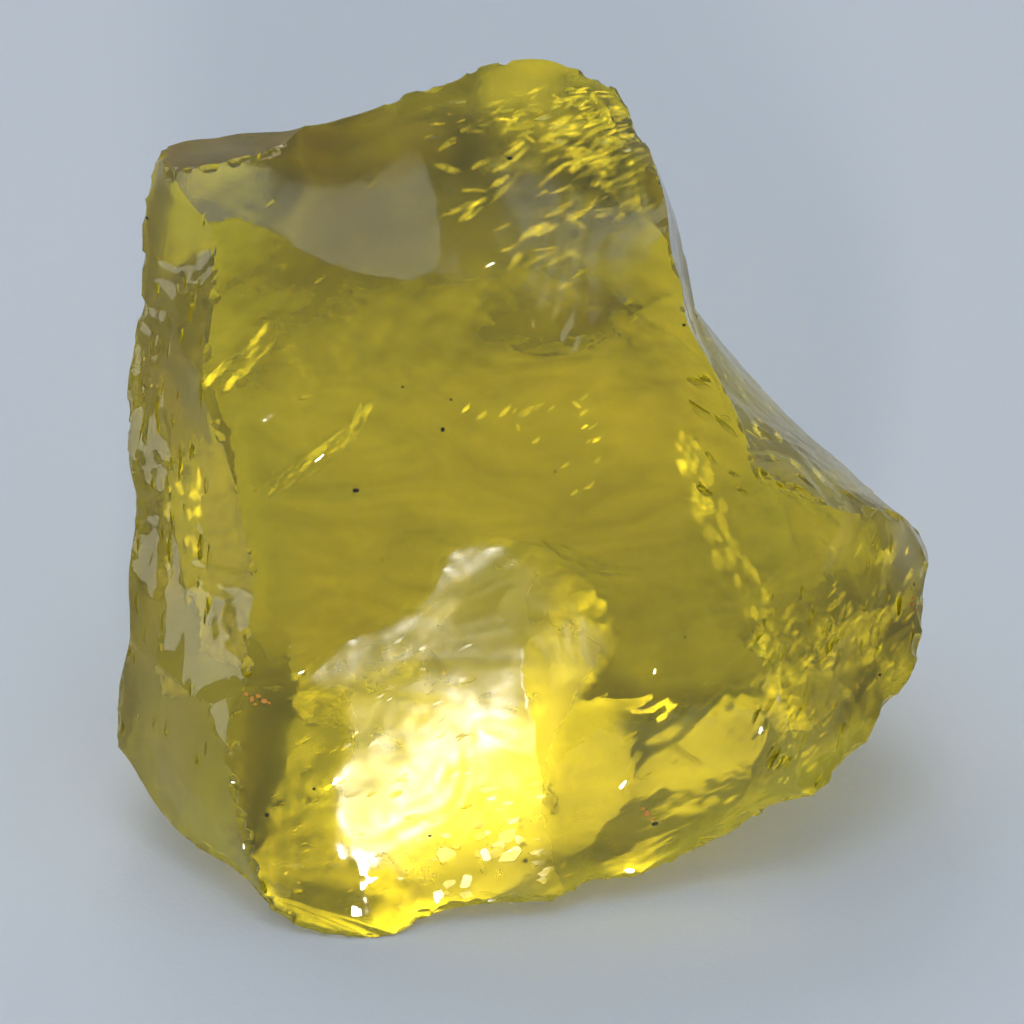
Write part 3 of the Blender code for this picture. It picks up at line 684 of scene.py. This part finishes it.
def film_material():
    """A healed crack: it mirrors in part, in feathery patches."""
    m, t = nodes_of("Healed crack")
    out = t.nodes.new("ShaderNodeOutputMaterial")
    clear = t.nodes.new("ShaderNodeBsdfTransparent")
    gloss = t.nodes.new("ShaderNodeBsdfGlossy")
    gloss.inputs["Color"].default_value = (1.0, 0.99, 0.93, 1)
    gloss.inputs["Roughness"].default_value = 0.16
    feather = noise(t, 900, 5, 0.62, 1.4)
    ramp = t.nodes.new("ShaderNodeMapRange")
    ramp.inputs["From Min"].default_value = 0.30
    ramp.inputs["From Max"].default_value = 0.62
    link(t, feather, "Fac", ramp, "Value")
    mix = t.nodes.new("ShaderNodeMixShader")
    t.links.new(math_(t, "MULTIPLY", ramp.outputs["Result"], attribute(t, "film").outputs["Fac"]), mix.inputs["Fac"])
    t.links.new(clear.outputs["BSDF"], mix.inputs[1])
    t.links.new(gloss.outputs["BSDF"], mix.inputs[2])
    link(t, mix, "Shader", out, "Surface")
    return m


FILM = film_material()


def closed(name, top, faces, thick, value, material, way=(0, 0, 1)):
    """A thin closed body under the given top points (mm), with the film's strength at each."""
    n = len(top)
    verts = [tuple(p * MM) for p in top] + [tuple((p - thick * np.array(way, float)) * MM) for p in top]
    edge = {}
    for f in faces:
        for a, b in zip(f, f[1:] + f[:1]):
            if (b, a) in edge:
                del edge[(b, a)]
            else:
                edge[(a, b)] = True
    fs = [tuple(f) for f in faces] + [tuple(n + i for i in reversed(f)) for f in faces]
    fs += [(b, a, n + a, n + b) for a, b in edge]
    mesh = bpy.data.meshes.new(name)
    mesh.from_pydata(verts, [], fs)
    bm_ = bmesh.new()
    bm_.from_mesh(mesh)
    bmesh.ops.recalc_face_normals(bm_, faces=bm_.faces[:])
    bm_.to_mesh(mesh)
    bm_.free()
    f_ = mesh.attributes.new("film", "FLOAT", "POINT")
    f_.data.foreach_set("value", np.r_[value, value * 0.0].astype(np.float32))
    mesh.materials.append(material)
    mesh.shade_smooth()
    ob = mesh_object(name, mesh)
    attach(ob, "root")
    return ob


def veil(name, outline, height, fall, depth, strength, slope=(0, 0), bend=0.0, wave=0.02, pitch=4.0, fade=10, seed=0,
         streaks=None):
    """A level crack, height mm above the floor, whose outline is given in the front view.

    fall is how steeply sight lines run inside the stone, in degrees; slope is the crack's rise to
    the right and to the back, and bend how it sags away from its middle.
    """
    poly = np.array(outline, float)
    lo, hi = poly.min(0), poly.max(0)
    nx, ny = int((hi[0] - lo[0]) / pitch) + 1, int((hi[1] - lo[1]) / pitch) + 1
    gx, gy = np.meshgrid(np.linspace(lo[0], hi[0], nx), np.linspace(lo[1], hi[1], ny))
    q = np.c_[gx.ravel(), gy.ravel()]
    inside = within(outline, q)
    a = math.radians(fall)
    pts = []
    for c_, r_ in q:
        p = point(c_, r_, depth)
        d = np.array([(c_ - 512) * UNIT / DISTANCE / 1.62, math.cos(a), -math.sin(a)])
        pts.append(p + d * (p[2] - height) / math.sin(a))
    pts = np.array(pts)
    mid = pts[inside > 0].mean(0)
    s = pts - mid
    pts[:, 2] = (height + slope[0] * s[:, 0] + slope[1] * s[:, 1] - bend * (s[:, 0] ** 2 + s[:, 1] ** 2)
                 + wave * fractal(s[:, 0] / 1.3, s[:, 1] / 2.6, 900 + seed, 3))
    value = strength * smooth(inside, 0, fade)
    if streaks is not None:
        along = (q[:, 0] * streaks[0] + q[:, 1] * streaks[1]) / 9.0
        across_ = (q[:, 0] * -streaks[1] + q[:, 1] * streaks[0]) / 60.0
        value = value * (0.35 + 0.9 * np.clip(0.5 + 0.8 * fractal(along, across_, 950 + seed, 3), 0, 1))
    keep = {}
    top, val, faces = [], [], []
    for j in range(ny - 1):
        for i in range(nx - 1):
            ids = [j * nx + i, j * nx + i + 1, (j + 1) * nx + i + 1, (j + 1) * nx + i]
            if all(inside[k] > 0 for k in ids):
                f = []
                for k in ids:
                    if k not in keep:
                        keep[k] = len(top)
                        top.append(pts[k])
                        val.append(value[k])
                    f.append(keep[k])
                faces.append(f)
    top = np.array(top)
    ok = sum(skin.find_nearest(Vector(p * MM))[0] is not None and
             (Vector(p * MM) - skin.find_nearest(Vector(p * MM))[0]).dot(skin.find_nearest(Vector(p * MM))[1]) < 0
             for p in top[::17])
    print(name, "points", len(top), "inside", ok, "of", len(top[::17]), "y", top[:, 1].min().round(2), top[:, 1].max().round(2))
    return closed(name, top, faces, 0.03, np.array(val), FILM)


# ---------------------------------------------------------------- cracks, streaks, specks and stains
veil("glow_veil", [(285, 700), (300, 680), (337, 654), (393, 628), (434, 596), (452, 553), (503, 547), (560, 578), (602, 627),
                   (608, 650), (585, 692), (560, 722), (470, 742), (380, 742), (300, 730)],
     6.4, 27.5, -1.3, 0.75, slope=(0.0, 0.0), bend=0.0012, wave=0.03, seed=1, streaks=(0.55, 0.83))
veil("lobe_veil", [(752, 650), (800, 612), (850, 620), (862, 660), (846, 705), (815, 735), (775, 745), (752, 710)],
     5.4, 27.0, 0.6, 0.55, slope=(0.0, -0.03), wave=0.05, seed=3, streaks=(0.8, -0.6))

FLAKES = [
    # outline in the front view, how many, how deep inside (mm), half width (mm), how strong, slant on the view, length
    ([(565, 80), (600, 82), (622, 110), (648, 165), (655, 212), (610, 214), (570, 150), (548, 110)], 120, (0.2, 2.0), (0.22, 0.6), 1.0, 18, 2.2),
    ([(460, 90), (560, 75), (600, 220), (560, 300), (490, 260), (440, 170)], 60, (0.5, 2.4), (0.2, 0.5), 0.7, 25, 2.4),
    ([(430, 118), (523, 96), (560, 96), (520, 130), (450, 142)], 16, (0.2, 0.7), (0.1, 0.3), 0.8, 12, 2.0),
    ([(150, 455), (200, 470), (205, 570), (160, 590), (138, 520)], 26, (0.4, 1.4), (0.15, 0.45), 0.9, 60, 1.8),
    ([(131, 600), (160, 600), (165, 660), (128, 665)], 10, (0.4, 1.2), (0.15, 0.4), 0.9, 60, 1.8),
    ([(205, 375), (262, 330), (275, 345), (222, 395)], 12, (1.0, 2.5), (0.15, 0.4), 0.9, 35, 3.0),
    ([(248, 492), (300, 462), (360, 412), (366, 424), (310, 478), (258, 506)], 13, (1.0, 3.0), (0.12, 0.4), 0.9, 35, 3.2),
    ([(455, 390), (520, 392), (590, 395), (610, 490), (570, 500), (520, 440), (460, 420)], 22, (1.5, 4.5), (0.12, 0.3), 0.8, 45, 2.0),
    ([(668, 430), (694, 430), (722, 500), (748, 560), (776, 610), (790, 650), (766, 655), (738, 600), (716, 560), (698, 516)],
     80, (0.6, 3.0), (0.2, 0.5), 0.7, -58, 2.6),
    ([(750, 640), (800, 600), (835, 640), (830, 740), (790, 795), (765, 790), (752, 720)], 60, (0.3, 2.2), (0.12, 0.35), 0.85, 62, 3.2),
    ([(830, 540), (915, 545), (920, 620), (890, 690), (850, 700), (832, 620)], 36, (0.3, 2.4), (0.12, 0.35), 0.8, 62, 3.0),
    ([(270, 790), (330, 770), (400, 800), (560, 800), (580, 880), (440, 905), (300, 915), (270, 880)], 40, (0.2, 1.4), (0.08, 0.3), 0.7, 20, 2.0),
    ([(700, 330), (760, 372), (830, 440), (890, 500), (850, 505), (760, 450), (720, 380)], 26, (0.3, 1.8), (0.15, 0.4), 0.5, -40, 2.4),
]


def catches(where, way, normal, bounces=5):
    """Whether a sight line that a crack at where (mm) mirrors leaves the stone towards the bright sky behind."""
    d = way - 2 * (way @ normal) * normal
    p = Vector(where * MM)
    for _ in range(bounces):
        hit, n, _, _ = skin.ray_cast(p + Vector(d) * 1e-6, Vector(d))
        if hit is None:
            return False
        n = np.array(n)
        c_ = d @ n
        s2 = 1.62 ** 2 * (1 - c_ * c_)
        if s2 < 1 and c_ > 0:
            out = 1.62 * d + (math.sqrt(1 - s2) - 1.62 * c_) * n
            side, up = math.degrees(math.atan2(out[0], out[1])), math.degrees(math.asin(max(-1, min(1, out[2]))))
            return -44 < side < 6 and 25 < up < 52
        d = d - 2 * c_ * n
        p = hit
    return False


def flakes(name, beds, seed):
    """Small flakes of cracked crystal just inside the skin, turned so that they catch the light behind."""
    rng = np.random.default_rng(seed)
    verts, faces, film = [], [], []
    for outline, count, deep, half, strength, slant, length in beds:
        poly = np.array(outline, float)
        lo, hi = poly.min(0), poly.max(0)
        made = tries = 0
        while made < count and tries < count * 40:
            tries += 1
            q = rng.uniform(lo, hi)
            if within(outline, q[None])[0] < 0:
                continue
            p, n = landing(*q)
            if p is None:
                continue
            d = ray(*q)
            cosine = max(-d @ n, 0.05)
            inward = d / 1.62 + (cosine / 1.62 - math.sqrt(1 - (1 - cosine ** 2) / 1.62 ** 2)) * n
            inward /= np.linalg.norm(inward)
            w_ = rng.uniform(*half)
            at_ = p + inward * rng.uniform(*deep)
            back = skin.ray_cast(Vector(at_ * MM), Vector((0, 1, 0)))[3]
            near_ = skin.find_nearest(Vector(at_ * MM))[3] / MM
            w_ = min(w_, near_ / (0.9 * length))
            if back is None or w_ < 0.06:
                continue
            for k in range(16):
                spread = 3.5 + k
                tilt_y, tilt_x = math.radians(rng.normal(-3.5, spread)), math.radians(rng.normal(0, spread))
                lean = np.array([-math.tan(tilt_x), -math.tan(tilt_y), 1.0])
                if catches(at_, inward, lean / np.linalg.norm(lean)):
                    break
            else:
                continue
            turn = math.atan2(math.sin(math.radians(slant + rng.normal(0, 10))) / 0.36, math.cos(math.radians(slant)))
            if rng.random() < 0.15:
                turn = rng.uniform(0, 3.14)
            k = rng.integers(7, 11)
            ring = []
            for j in range(k):
                t_ = 2 * math.pi * j / k
                rr = w_ * rng.uniform(0.55, 1.0)
                x_, y_ = rr * length * math.cos(t_), rr * math.sin(t_) * 0.6
                x_, y_ = x_ * math.cos(turn) - y_ * math.sin(turn), x_ * math.sin(turn) + y_ * math.cos(turn)
                ring.append(at_ + np.array([x_, y_, math.tan(tilt_y) * y_ + math.tan(tilt_x) * x_]))
            b_ = len(verts)
            verts += ring + [r_ - (0, 0, 0.02) for r_ in ring] + [at_]
            faces += [(b_ + j, b_ + (j + 1) % k, b_ + 2 * k) for j in range(k)]
            faces += [tuple(b_ + k + j for j in reversed(range(k)))]
            faces += [(b_ + (j + 1) % k, b_ + j, b_ + k + j, b_ + k + (j + 1) % k) for j in range(k)]
            film += [strength * 0.5] * k + [0.0] * k + [strength]
            made += 1
    mesh = bpy.data.meshes.new(name)
    mesh.from_pydata([tuple(np.array(v) * MM) for v in verts], [], faces)
    f_ = mesh.attributes.new("film", "FLOAT", "POINT")
    f_.data.foreach_set("value", np.array(film, np.float32))
    mesh.materials.append(FILM)
    ob = mesh_object(name, mesh)
    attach(ob, "root")
    print(name, len(film))
    return ob


flakes("flakes", FLAKES, 11)


def streak(name, spine, deep, wide, strength, lean=-3.5, seed=0, thick=0.02):
    """A narrow level crack whose middle line follows the spine, (across, down) in the front view."""
    rng = np.random.default_rng(seed)
    spine = np.array(spine, float)
    seg = np.hypot(*np.diff(spine, axis=0).T)
    along = np.r_[0, np.cumsum(seg)]
    n = max(int(along[-1] / 5), 4)
    s_ = np.linspace(0, along[-1], n)
    q = np.c_[np.interp(s_, along, spine[:, 0]), np.interp(s_, along, spine[:, 1])]
    rows = []
    for c_, r_ in q:
        p, nrm = landing(c_, r_)
        if p is not None:
            d = ray(c_, r_)
            cosine = max(-d @ nrm, 0.05)
            inward = d / 1.62 + (cosine / 1.62 - math.sqrt(1 - (1 - cosine ** 2) / 1.62 ** 2)) * nrm
            inward /= np.linalg.norm(inward)
            rows.append((p + inward * deep, inward))
    best = 0
    for turn in range(-26, 21, 2):
        level = np.array([0, -math.tan(math.radians(turn)), 1.0])
        level /= np.linalg.norm(level)
        found = sum(catches(a, b, level) for a, b in rows[::2])
        if found > best:
            best, lean = found, turn
    top, val, faces = [], [], []
    for k, (c_, r_) in enumerate(q):
        p, nrm = landing(c_, r_ + rng.normal(0, 0.7))
        if p is None:
            continue
        d = ray(c_, r_)
        cosine = max(-d @ nrm, 0.05)
        inward = d / 1.62 + (cosine / 1.62 - math.sqrt(1 - (1 - cosine ** 2) / 1.62 ** 2)) * nrm
        at_ = p + inward / np.linalg.norm(inward) * deep
        w_ = wide * (0.25 + 0.75 * math.sin(math.pi * (k + 0.5) / n)) * rng.uniform(0.6, 1.2)
        w_ = min(w_, 1.4 * skin.find_nearest(Vector(at_ * MM))[3] / MM)
        for e in (-0.5, 0.0, 0.5):
            top.append(at_ + np.array([0, e * w_, math.tan(math.radians(lean)) * e * w_]))
            val.append(strength * (1.0 if e == 0 else 0.35) * rng.uniform(0.5, 1.0))
    rows = len(top) // 3
    for k in range(rows - 1):
        for e in (0, 1):
            a, b = 3 * k + e, 3 * (k + 1) + e
            faces.append([a, b, b + 1, a + 1])
    return closed(name, np.array(top), faces, thick, np.array(val), FILM)


STREAKS = [
    ([(537, 537), (560, 552), (599, 571), (630, 574)], 1.0, 1.1, 1.0),
    ([(560, 545), (598, 562), (640, 570)], 1.6, 0.7, 0.7),
    ([(660, 735), (682, 752), (705, 765)], 0.9, 1.0, 1.0),
    ([(217, 371), (240, 352), (268, 337)], 1.2, 1.2, 1.0),
    ([(253, 492), (300, 462), (340, 432), (363, 416)], 1.4, 1.4, 1.0),
    ([(262, 500), (310, 474), (350, 440)], 2.0, 0.8, 0.7),
    ([(480, 893), (520, 897), (560, 893)], 0.35, 0.5, 1.0),
    ([(305, 690), (350, 662), (400, 640), (440, 606)], 0.7, 0.7, 1.0),
    ([(330, 700), (380, 668), (430, 640), (470, 600)], 0.9, 0.6, 0.8),
    ([(400, 690), (450, 650), (500, 610)], 0.9, 0.5, 0.7),
    ([(762, 652), (766, 700), (769, 785)], 0.5, 0.9, 0.9),
    ([(771, 640), (776, 700), (773, 780)], 0.6, 0.8, 0.8),
    ([(784, 628), (788, 690), (778, 775)], 0.6, 0.8, 0.8),
    ([(800, 640), (800, 700), (784, 770)], 0.5, 0.8, 0.8),
    ([(815, 650), (812, 705), (792, 775)], 0.5, 0.7, 0.7),
    ([(605, 280), (626, 303), (646, 322), (673, 337), (696, 358), (713, 376), (726, 408), (733, 431)], 0.5, 0.5, 0.7),
    ([(746, 436), (757, 446), (764, 458)], 0.4, 1.2, 1.0),
    ([(760, 482), (783, 494), (806, 500), (838, 524)], 0.4, 0.9, 0.8),
    ([(840, 546), (832, 574), (840, 600), (842, 634)], 0.25, 0.5, 0.7),
    ([(887, 556), (875, 574), (881, 600), (872, 632), (858, 660)], 0.25, 0.5, 0.7),
    ([(246, 632), (247, 684), (236, 716), (232, 760), (240, 812)], 0.25, 0.5, 0.9),
    ([(394, 108), (421, 150), (434, 190), (452, 228)], 0.25, 0.35, 0.35),
]
for k, (spine, deep, wide, strength) in enumerate(STREAKS):
    streak("streak_%02d" % k, spine, deep, wide, strength, seed=300 + k)


def haze_and_painted_shade_material():
    """Haze in the crystal that only dims and greens what is seen through it: random drawn-out wisps, plus painted shade
    where the film attribute holds the zones' density.
    """
    m, t = nodes_of("Cloud and painted shade")
    out = t.nodes.new("ShaderNodeOutputMaterial")
    clear = t.nodes.new("ShaderNodeBsdfTransparent")
    c_ = t.nodes.new("ShaderNodeTexCoord")
    turn = t.nodes.new("ShaderNodeMapping")
    turn.inputs["Rotation"].default_value = (math.radians(30), math.radians(38), 0)
    turn.inputs["Scale"].default_value = (130, 260, 420)
    link(t, c_, "Object", turn, "Vector")
    n = t.nodes.new("ShaderNodeTexNoise")
    n.inputs["Scale"].default_value = 1.0
    n.inputs["Detail"].default_value = 6.0
    n.inputs["Roughness"].default_value = 0.62
    n.inputs["Distortion"].default_value = 1.6
    link(t, turn, "Vector", n, "Vector")
    ramp = t.nodes.new("ShaderNodeMapRange")
    ramp.inputs["From Min"].default_value = 0.36
    ramp.inputs["From Max"].default_value = 0.66
    link(t, n, "Fac", ramp, "Value")
    grow = math_(t, "MULTIPLY", ramp.outputs["Result"], math_(t, "MULTIPLY", attribute(t, "wisps").outputs["Fac"], WISP))
    # film adds painted shade: the density that the sheet's zones give
    grow = math_(t, "ADD", grow, attribute(t, "film").outputs["Fac"])
    mix = t.nodes.new("ShaderNodeMix")
    mix.data_type = "RGBA"
    mix.inputs[6].default_value = (1, 1, 1, 1)
    # the dark tint laid over what is seen through, by the wisps and by the painted shade
    mix.inputs[7].default_value = (0.16, 0.15, 0.10, 1)
    t.links.new(grow, mix.inputs[0])
    t.links.new(mix.outputs[2], clear.inputs["Color"])
    link(t, clear, "BSDF", out, "Surface")
    return m


WISP = 0.085


def cloud_with_painted_shade(name, outline, deep, painted_shade_zones, pitch=7.0):
    """A sheet of haze that follows the skin, deep mm inside it; each zone adds painted shade, darkening what is seen
    through it there.
    """
    poly = np.array(outline, float)
    lo, hi = poly.min(0), poly.max(0)
    nx, ny = int((hi[0] - lo[0]) / pitch) + 1, int((hi[1] - lo[1]) / pitch) + 1
    gx, gy = np.meshgrid(np.linspace(lo[0], hi[0], nx), np.linspace(lo[1], hi[1], ny))
    q = np.c_[gx.ravel(), gy.ravel()]
    inside = within(outline, q)
    # painted shade: each zone darkens its place in the view through the stone
    painted_shade_density = np.zeros(len(q))
    for zone, strength, soft in painted_shade_zones:
        painted_shade_density += strength * smooth(within(zone, q), -soft, soft)
    painted_shade_density = np.clip(painted_shade_density, 0, 0.8)
    keep, top, val, faces = {}, [], [], []
    pts = {}
    for k in np.flatnonzero(inside > 0):
        p, n = landing(*q[k])
        if p is not None:
            d = ray(*q[k])
            cosine = max(-d @ EYE, 0.05)
            at_ = p + d * deep
            near_ = skin.find_nearest(Vector(at_ * MM))
            if (Vector(at_ * MM) - near_[0]).dot(near_[1]) < 0 and near_[3] / MM > 0.15:
                pts[k] = at_
    ok = np.zeros((ny + 2, nx + 2), bool)
    for k in pts:
        ok[k // nx + 1, k % nx + 1] = True
    depth_ = np.zeros(ok.shape)
    for _ in range(4):
        depth_ += ok
        ok = ok & np.roll(ok, 1, 0) & np.roll(ok, -1, 0) & np.roll(ok, 1, 1) & np.roll(ok, -1, 1)
    fade_ = np.clip((depth_[1:-1, 1:-1].ravel() - 1) / 2, 0, 1)
    wisps = []
    for j in range(ny - 1):
        for i in range(nx - 1):
            ids = [j * nx + i, j * nx + i + 1, (j + 1) * nx + i + 1, (j + 1) * nx + i]
            if all(k in pts for k in ids) and max(np.linalg.norm(pts[a] - pts[b]) for a in ids for b in ids) < 1.2:
                f = []
                for k in ids:
                    if k not in keep:
                        keep[k] = len(top)
                        top.append(pts[k])
                        val.append(painted_shade_density[k] * 0.5 * fade_[k])
                        wisps.append(fade_[k])
                    f.append(keep[k])
                faces.append(f)
    print(name, len(top))
    ob = closed(name, np.array(top), faces, 0.02, np.array(val), HAZE_AND_PAINTED_SHADE, way=EYE)
    ob.data.attributes.new("wisps", "FLOAT", "POINT").data.foreach_set("value", np.r_[wisps, wisps].astype(np.float32))
    # the film attribute carries the painted shade density
    f_ = np.r_[val, val].astype(np.float32)
    ob.data.attributes["film"].data.foreach_set("value", f_)
    return ob


HAZE_AND_PAINTED_SHADE = haze_and_painted_shade_material()
WHOLE = [(185, 190), (300, 160), (430, 110), (560, 90), (620, 120), (650, 220), (670, 320), (730, 430), (800, 530),
         (900, 560), (905, 640), (850, 740), (790, 775), (640, 872), (560, 898), (460, 905), (400, 930), (330, 935), (275, 915),
         (240, 850), (230, 760), (246, 690), (262, 560), (240, 440), (225, 300)]
# painted shade: these zones darken the lower left, the foot, the right of the glow, the bottom strip and the middle
# right
cloud_with_painted_shade("haze_and_painted_shade_near", WHOLE, 0.5, [
    ([(225, 700), (300, 690), (345, 662), (345, 720), (335, 795), (300, 825), (225, 830)], 0.34, 16),
    ([(220, 825), (300, 820), (400, 850), (440, 930), (300, 955), (220, 900)], 0.62, 12),
    ([(556, 700), (596, 650), (640, 690), (650, 780), (600, 850), (548, 850)], 0.42, 14),
    ([(620, 700), (700, 690), (770, 670), (778, 770), (700, 845), (600, 860), (640, 760)], 0.36, 16),
    ([(400, 872), (640, 832), (660, 890), (460, 925), (400, 930)], 0.45, 12),
    ([(640, 560), (700, 600), (700, 700), (650, 720), (620, 640)], 0.08, 20),
    ([(530, 440), (640, 480), (660, 600), (600, 640), (540, 540)], 0.04, 30),
])
# painted shade: one faint darkening of the upper middle
cloud_with_painted_shade("haze_and_painted_shade_far", WHOLE, 3.0, [
    ([(480, 300), (640, 340), (640, 460), (520, 480), (440, 380)], 0.02, 30),
])


def stain_material(name, colour, rough=0.5, hold=1.0):
    m, t = nodes_of(name)
    out = t.nodes.new("ShaderNodeOutputMaterial")
    b_ = t.nodes.new("ShaderNodeBsdfPrincipled")
    b_.inputs["Base Color"].default_value = (*colour, 1)
    b_.inputs["Roughness"].default_value = rough
    b_.inputs["Specular IOR Level"].default_value = 0.3
    if hold < 1:
        clear = t.nodes.new("ShaderNodeBsdfTransparent")
        mix = t.nodes.new("ShaderNodeMixShader")
        patch = noise(t, 6000, 3, 0.6)
        ramp = t.nodes.new("ShaderNodeMapRange")
        ramp.inputs["From Min"].default_value = 0.62 - 0.4 * hold
        ramp.inputs["From Max"].default_value = 0.75 - 0.2 * hold
        ramp.inputs["To Max"].default_value = hold
        link(t, patch, "Fac", ramp, "Value")
        link(t, ramp, "Result", mix, "Fac")
        t.links.new(clear.outputs["BSDF"], mix.inputs[1])
        t.links.new(b_.outputs["BSDF"], mix.inputs[2])
        link(t, mix, "Shader", out, "Surface")
    else:
        link(t, b_, "BSDF", out, "Surface")
    return m


def grains(name, spots, material, seed):
    """Flat uneven grains set in the skin: (across, down, radius mm, how deep mm)."""
    rng = np.random.default_rng(seed)
    bm = bmesh.new()
    for across, down, radius, deep in spots:
        p, n = landing(across, down)
        if p is None:
            continue
        made = bmesh.ops.create_icosphere(bm, subdivisions=2, radius=1.0)["verts"]
        turn = Vector(n).to_track_quat("Z", "Y").to_matrix()
        sx, sy, sz = radius * rng.uniform(0.75, 1.3), radius * rng.uniform(0.7, 1.0), radius * 0.4
        for v in made:
            q = v.co.copy() * (1 + 0.15 * math.sin(5 * v.co.x + across) * math.sin(4 * v.co.y + down))
            v.co = (Vector(p - n * (deep + sz * 0.45)) + turn @ Vector((q.x * sx, q.y * sy, q.z * sz))) * MM
    mesh = bpy.data.meshes.new(name)
    bm.to_mesh(mesh)
    bm.free()
    mesh.materials.append(material)
    mesh.shade_smooth()
    ob = mesh_object(name, mesh)
    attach(ob, "root")
    return ob


DARK = stain_material("Dark mineral", (0.02, 0.018, 0.008))
SMOKY = stain_material("Smoky mineral", (0.10, 0.09, 0.02), hold=0.5)
ORANGE = stain_material("Iron stain", (0.62, 0.26, 0.04), 0.6)
RED = stain_material("Red iron stain", (0.42, 0.06, 0.02), 0.6)
grains("specks", [
    (510, 158, 0.085, 0), (442, 429, 0.095, 0.6), (354, 491, 0.10, 0.8), (402, 386, 0.05, 0.5), (451, 399, 0.045, 0.5),
    (684, 325, 0.06, 0), (314, 789, 0.07, 0), (267, 815, 0.08, 0), (430, 836, 0.06, 0), (656, 825, 0.11, 0.2),
    (912, 572, 0.06, 0), (914, 584, 0.07, 0), (147, 218, 0.08, 0), (880, 675, 0.06, 0), (300, 360, 0.04, 1.5),
    (612, 300, 0.035, 1.2), (560, 470, 0.035, 2.0), (380, 560, 0.04, 1.2), (690, 640, 0.04, 1.0)], DARK, 41)
grains("smoky_specks", [
    (553, 801, 0.34, 0.25), (549, 790, 0.24, 0.35), (556, 812, 0.24, 0.35), (571, 231, 0.22, 0.4), (566, 238, 0.15, 0.4),
    (521, 830, 0.12, 0.15), (524, 846, 0.13, 0.15), (526, 862, 0.12, 0.15), (528, 876, 0.12, 0.15), (518, 820, 0.10, 0.15)],
    SMOKY, 42)
grains("orange_stains", [
    (246, 694, 0.10, 0), (252, 699, 0.13, 0), (258, 696, 0.10, 0), (264, 701, 0.12, 0), (269, 703, 0.07, 0),
    (255, 704, 0.06, 0), (647, 814, 0.16, 0), (643, 809, 0.09, 0), (652, 819, 0.08, 0), (661, 822, 0.05, 0)], ORANGE, 43)
grains("red_stains", [(912, 604, 0.09, 0), (913, 598, 0.06, 0), (915, 609, 0.05, 0)], RED, 44)

# ---------------------------------------------------------------- floor, light and camera
m, t = nodes_of("Paper")
out = t.nodes.new("ShaderNodeOutputMaterial")
bsdf = t.nodes.new("ShaderNodeBsdfPrincipled")
bsdf.inputs["Base Color"].default_value = (0.83, 0.845, 0.87, 1)
bsdf.inputs["Roughness"].default_value = 0.9
bsdf.inputs["Specular IOR Level"].default_value = 0.2
grit = noise(t, 4500, 3, 0.6)
bump = t.nodes.new("ShaderNodeBump")
bump.inputs["Strength"].default_value = 0.25
bump.inputs["Distance"].default_value = 0.00004
link(t, grit, "Fac", bump, "Height")
link(t, bump, "Normal", bsdf, "Normal")
link(t, bsdf, "BSDF", out, "Surface")
bpy.ops.mesh.primitive_plane_add(size=6.0)
floor = bpy.context.object
floor.name = "floor"
floor.location.z = -0.00002
floor.data.materials.append(m)

w = bpy.data.worlds.new("Studio")
scene.world = w
w.use_nodes = True
w.node_tree.nodes["Background"].inputs["Color"].default_value = (0.335, 0.40, 0.48, 1)
w.node_tree.nodes["Background"].inputs["Strength"].default_value = 0.88


def area(name, azimuth, height, far, size, radiance, colour=(1, 1, 1), at=(0, 0, 0.01), size_y=None):
    """A soft box seen from the stone at azimuth (0 behind it, 90 to its right) and height in degrees."""
    a, h = math.radians(azimuth), math.radians(height)
    where = Vector(at) + far * Vector((math.sin(a) * math.cos(h), math.cos(a) * math.cos(h), math.sin(h)))
    l = bpy.data.lights.new(name, "AREA")
    l.shape = "RECTANGLE"
    l.size, l.size_y = size, size_y or size
    l.energy = radiance * math.pi * l.size * l.size_y
    l.color = colour
    o = bpy.data.objects.new(name, l)
    scene.collection.objects.link(o)
    d = Vector(at) - where
    o.matrix_world = Matrix.Translation(where) @ d.to_track_quat("-Z", "Y").to_matrix().to_4x4()
    o.visible_camera = False
    return o


area("window", -9, 46, 0.46, 0.085, 3.1, (1.0, 0.98, 0.95))
area("soft_box", -19, 39, 0.62, 0.62, 1.1, (1.0, 0.99, 0.97), size_y=0.30)
area("front_box", 180, 76, 0.25, 0.11, 1.3, (0.88, 0.94, 1.0))
area("lamp", 180, 12, 0.5, 0.055, 105.0, (1.0, 0.98, 0.94))
area("left_box", -97, 10, 0.5, 0.16, 1.6, (0.97, 0.98, 1.0))

cam = bpy.data.cameras.new("camera")
cam.lens = 200
cam.sensor_width = 36
cam.clip_start = 0.005
cam.clip_end = 20
camera = bpy.data.objects.new("camera", cam)
scene.collection.objects.link(camera)
camera.matrix_world = Matrix.Translation(EYE_AT * MM) @ Vector(AHEAD).to_track_quat("-Z", "Y").to_matrix().to_4x4()
scene.camera = camera

c = scene.cycles
c.max_bounces = 8
c.transmission_bounces = 8
c.glossy_bounces = 6
c.diffuse_bounces = 3
c.transparent_max_bounces = 12
c.volume_bounces = 0
c.caustics_refractive = True
c.caustics_reflective = True
c.blur_glossy = 0.2
c.sample_clamp_indirect = 12
c.use_adaptive_sampling = True
c.adaptive_threshold = 0.2
c.adaptive_min_samples = 12
c.use_denoising = True
scene.view_settings.view_transform = "Standard"
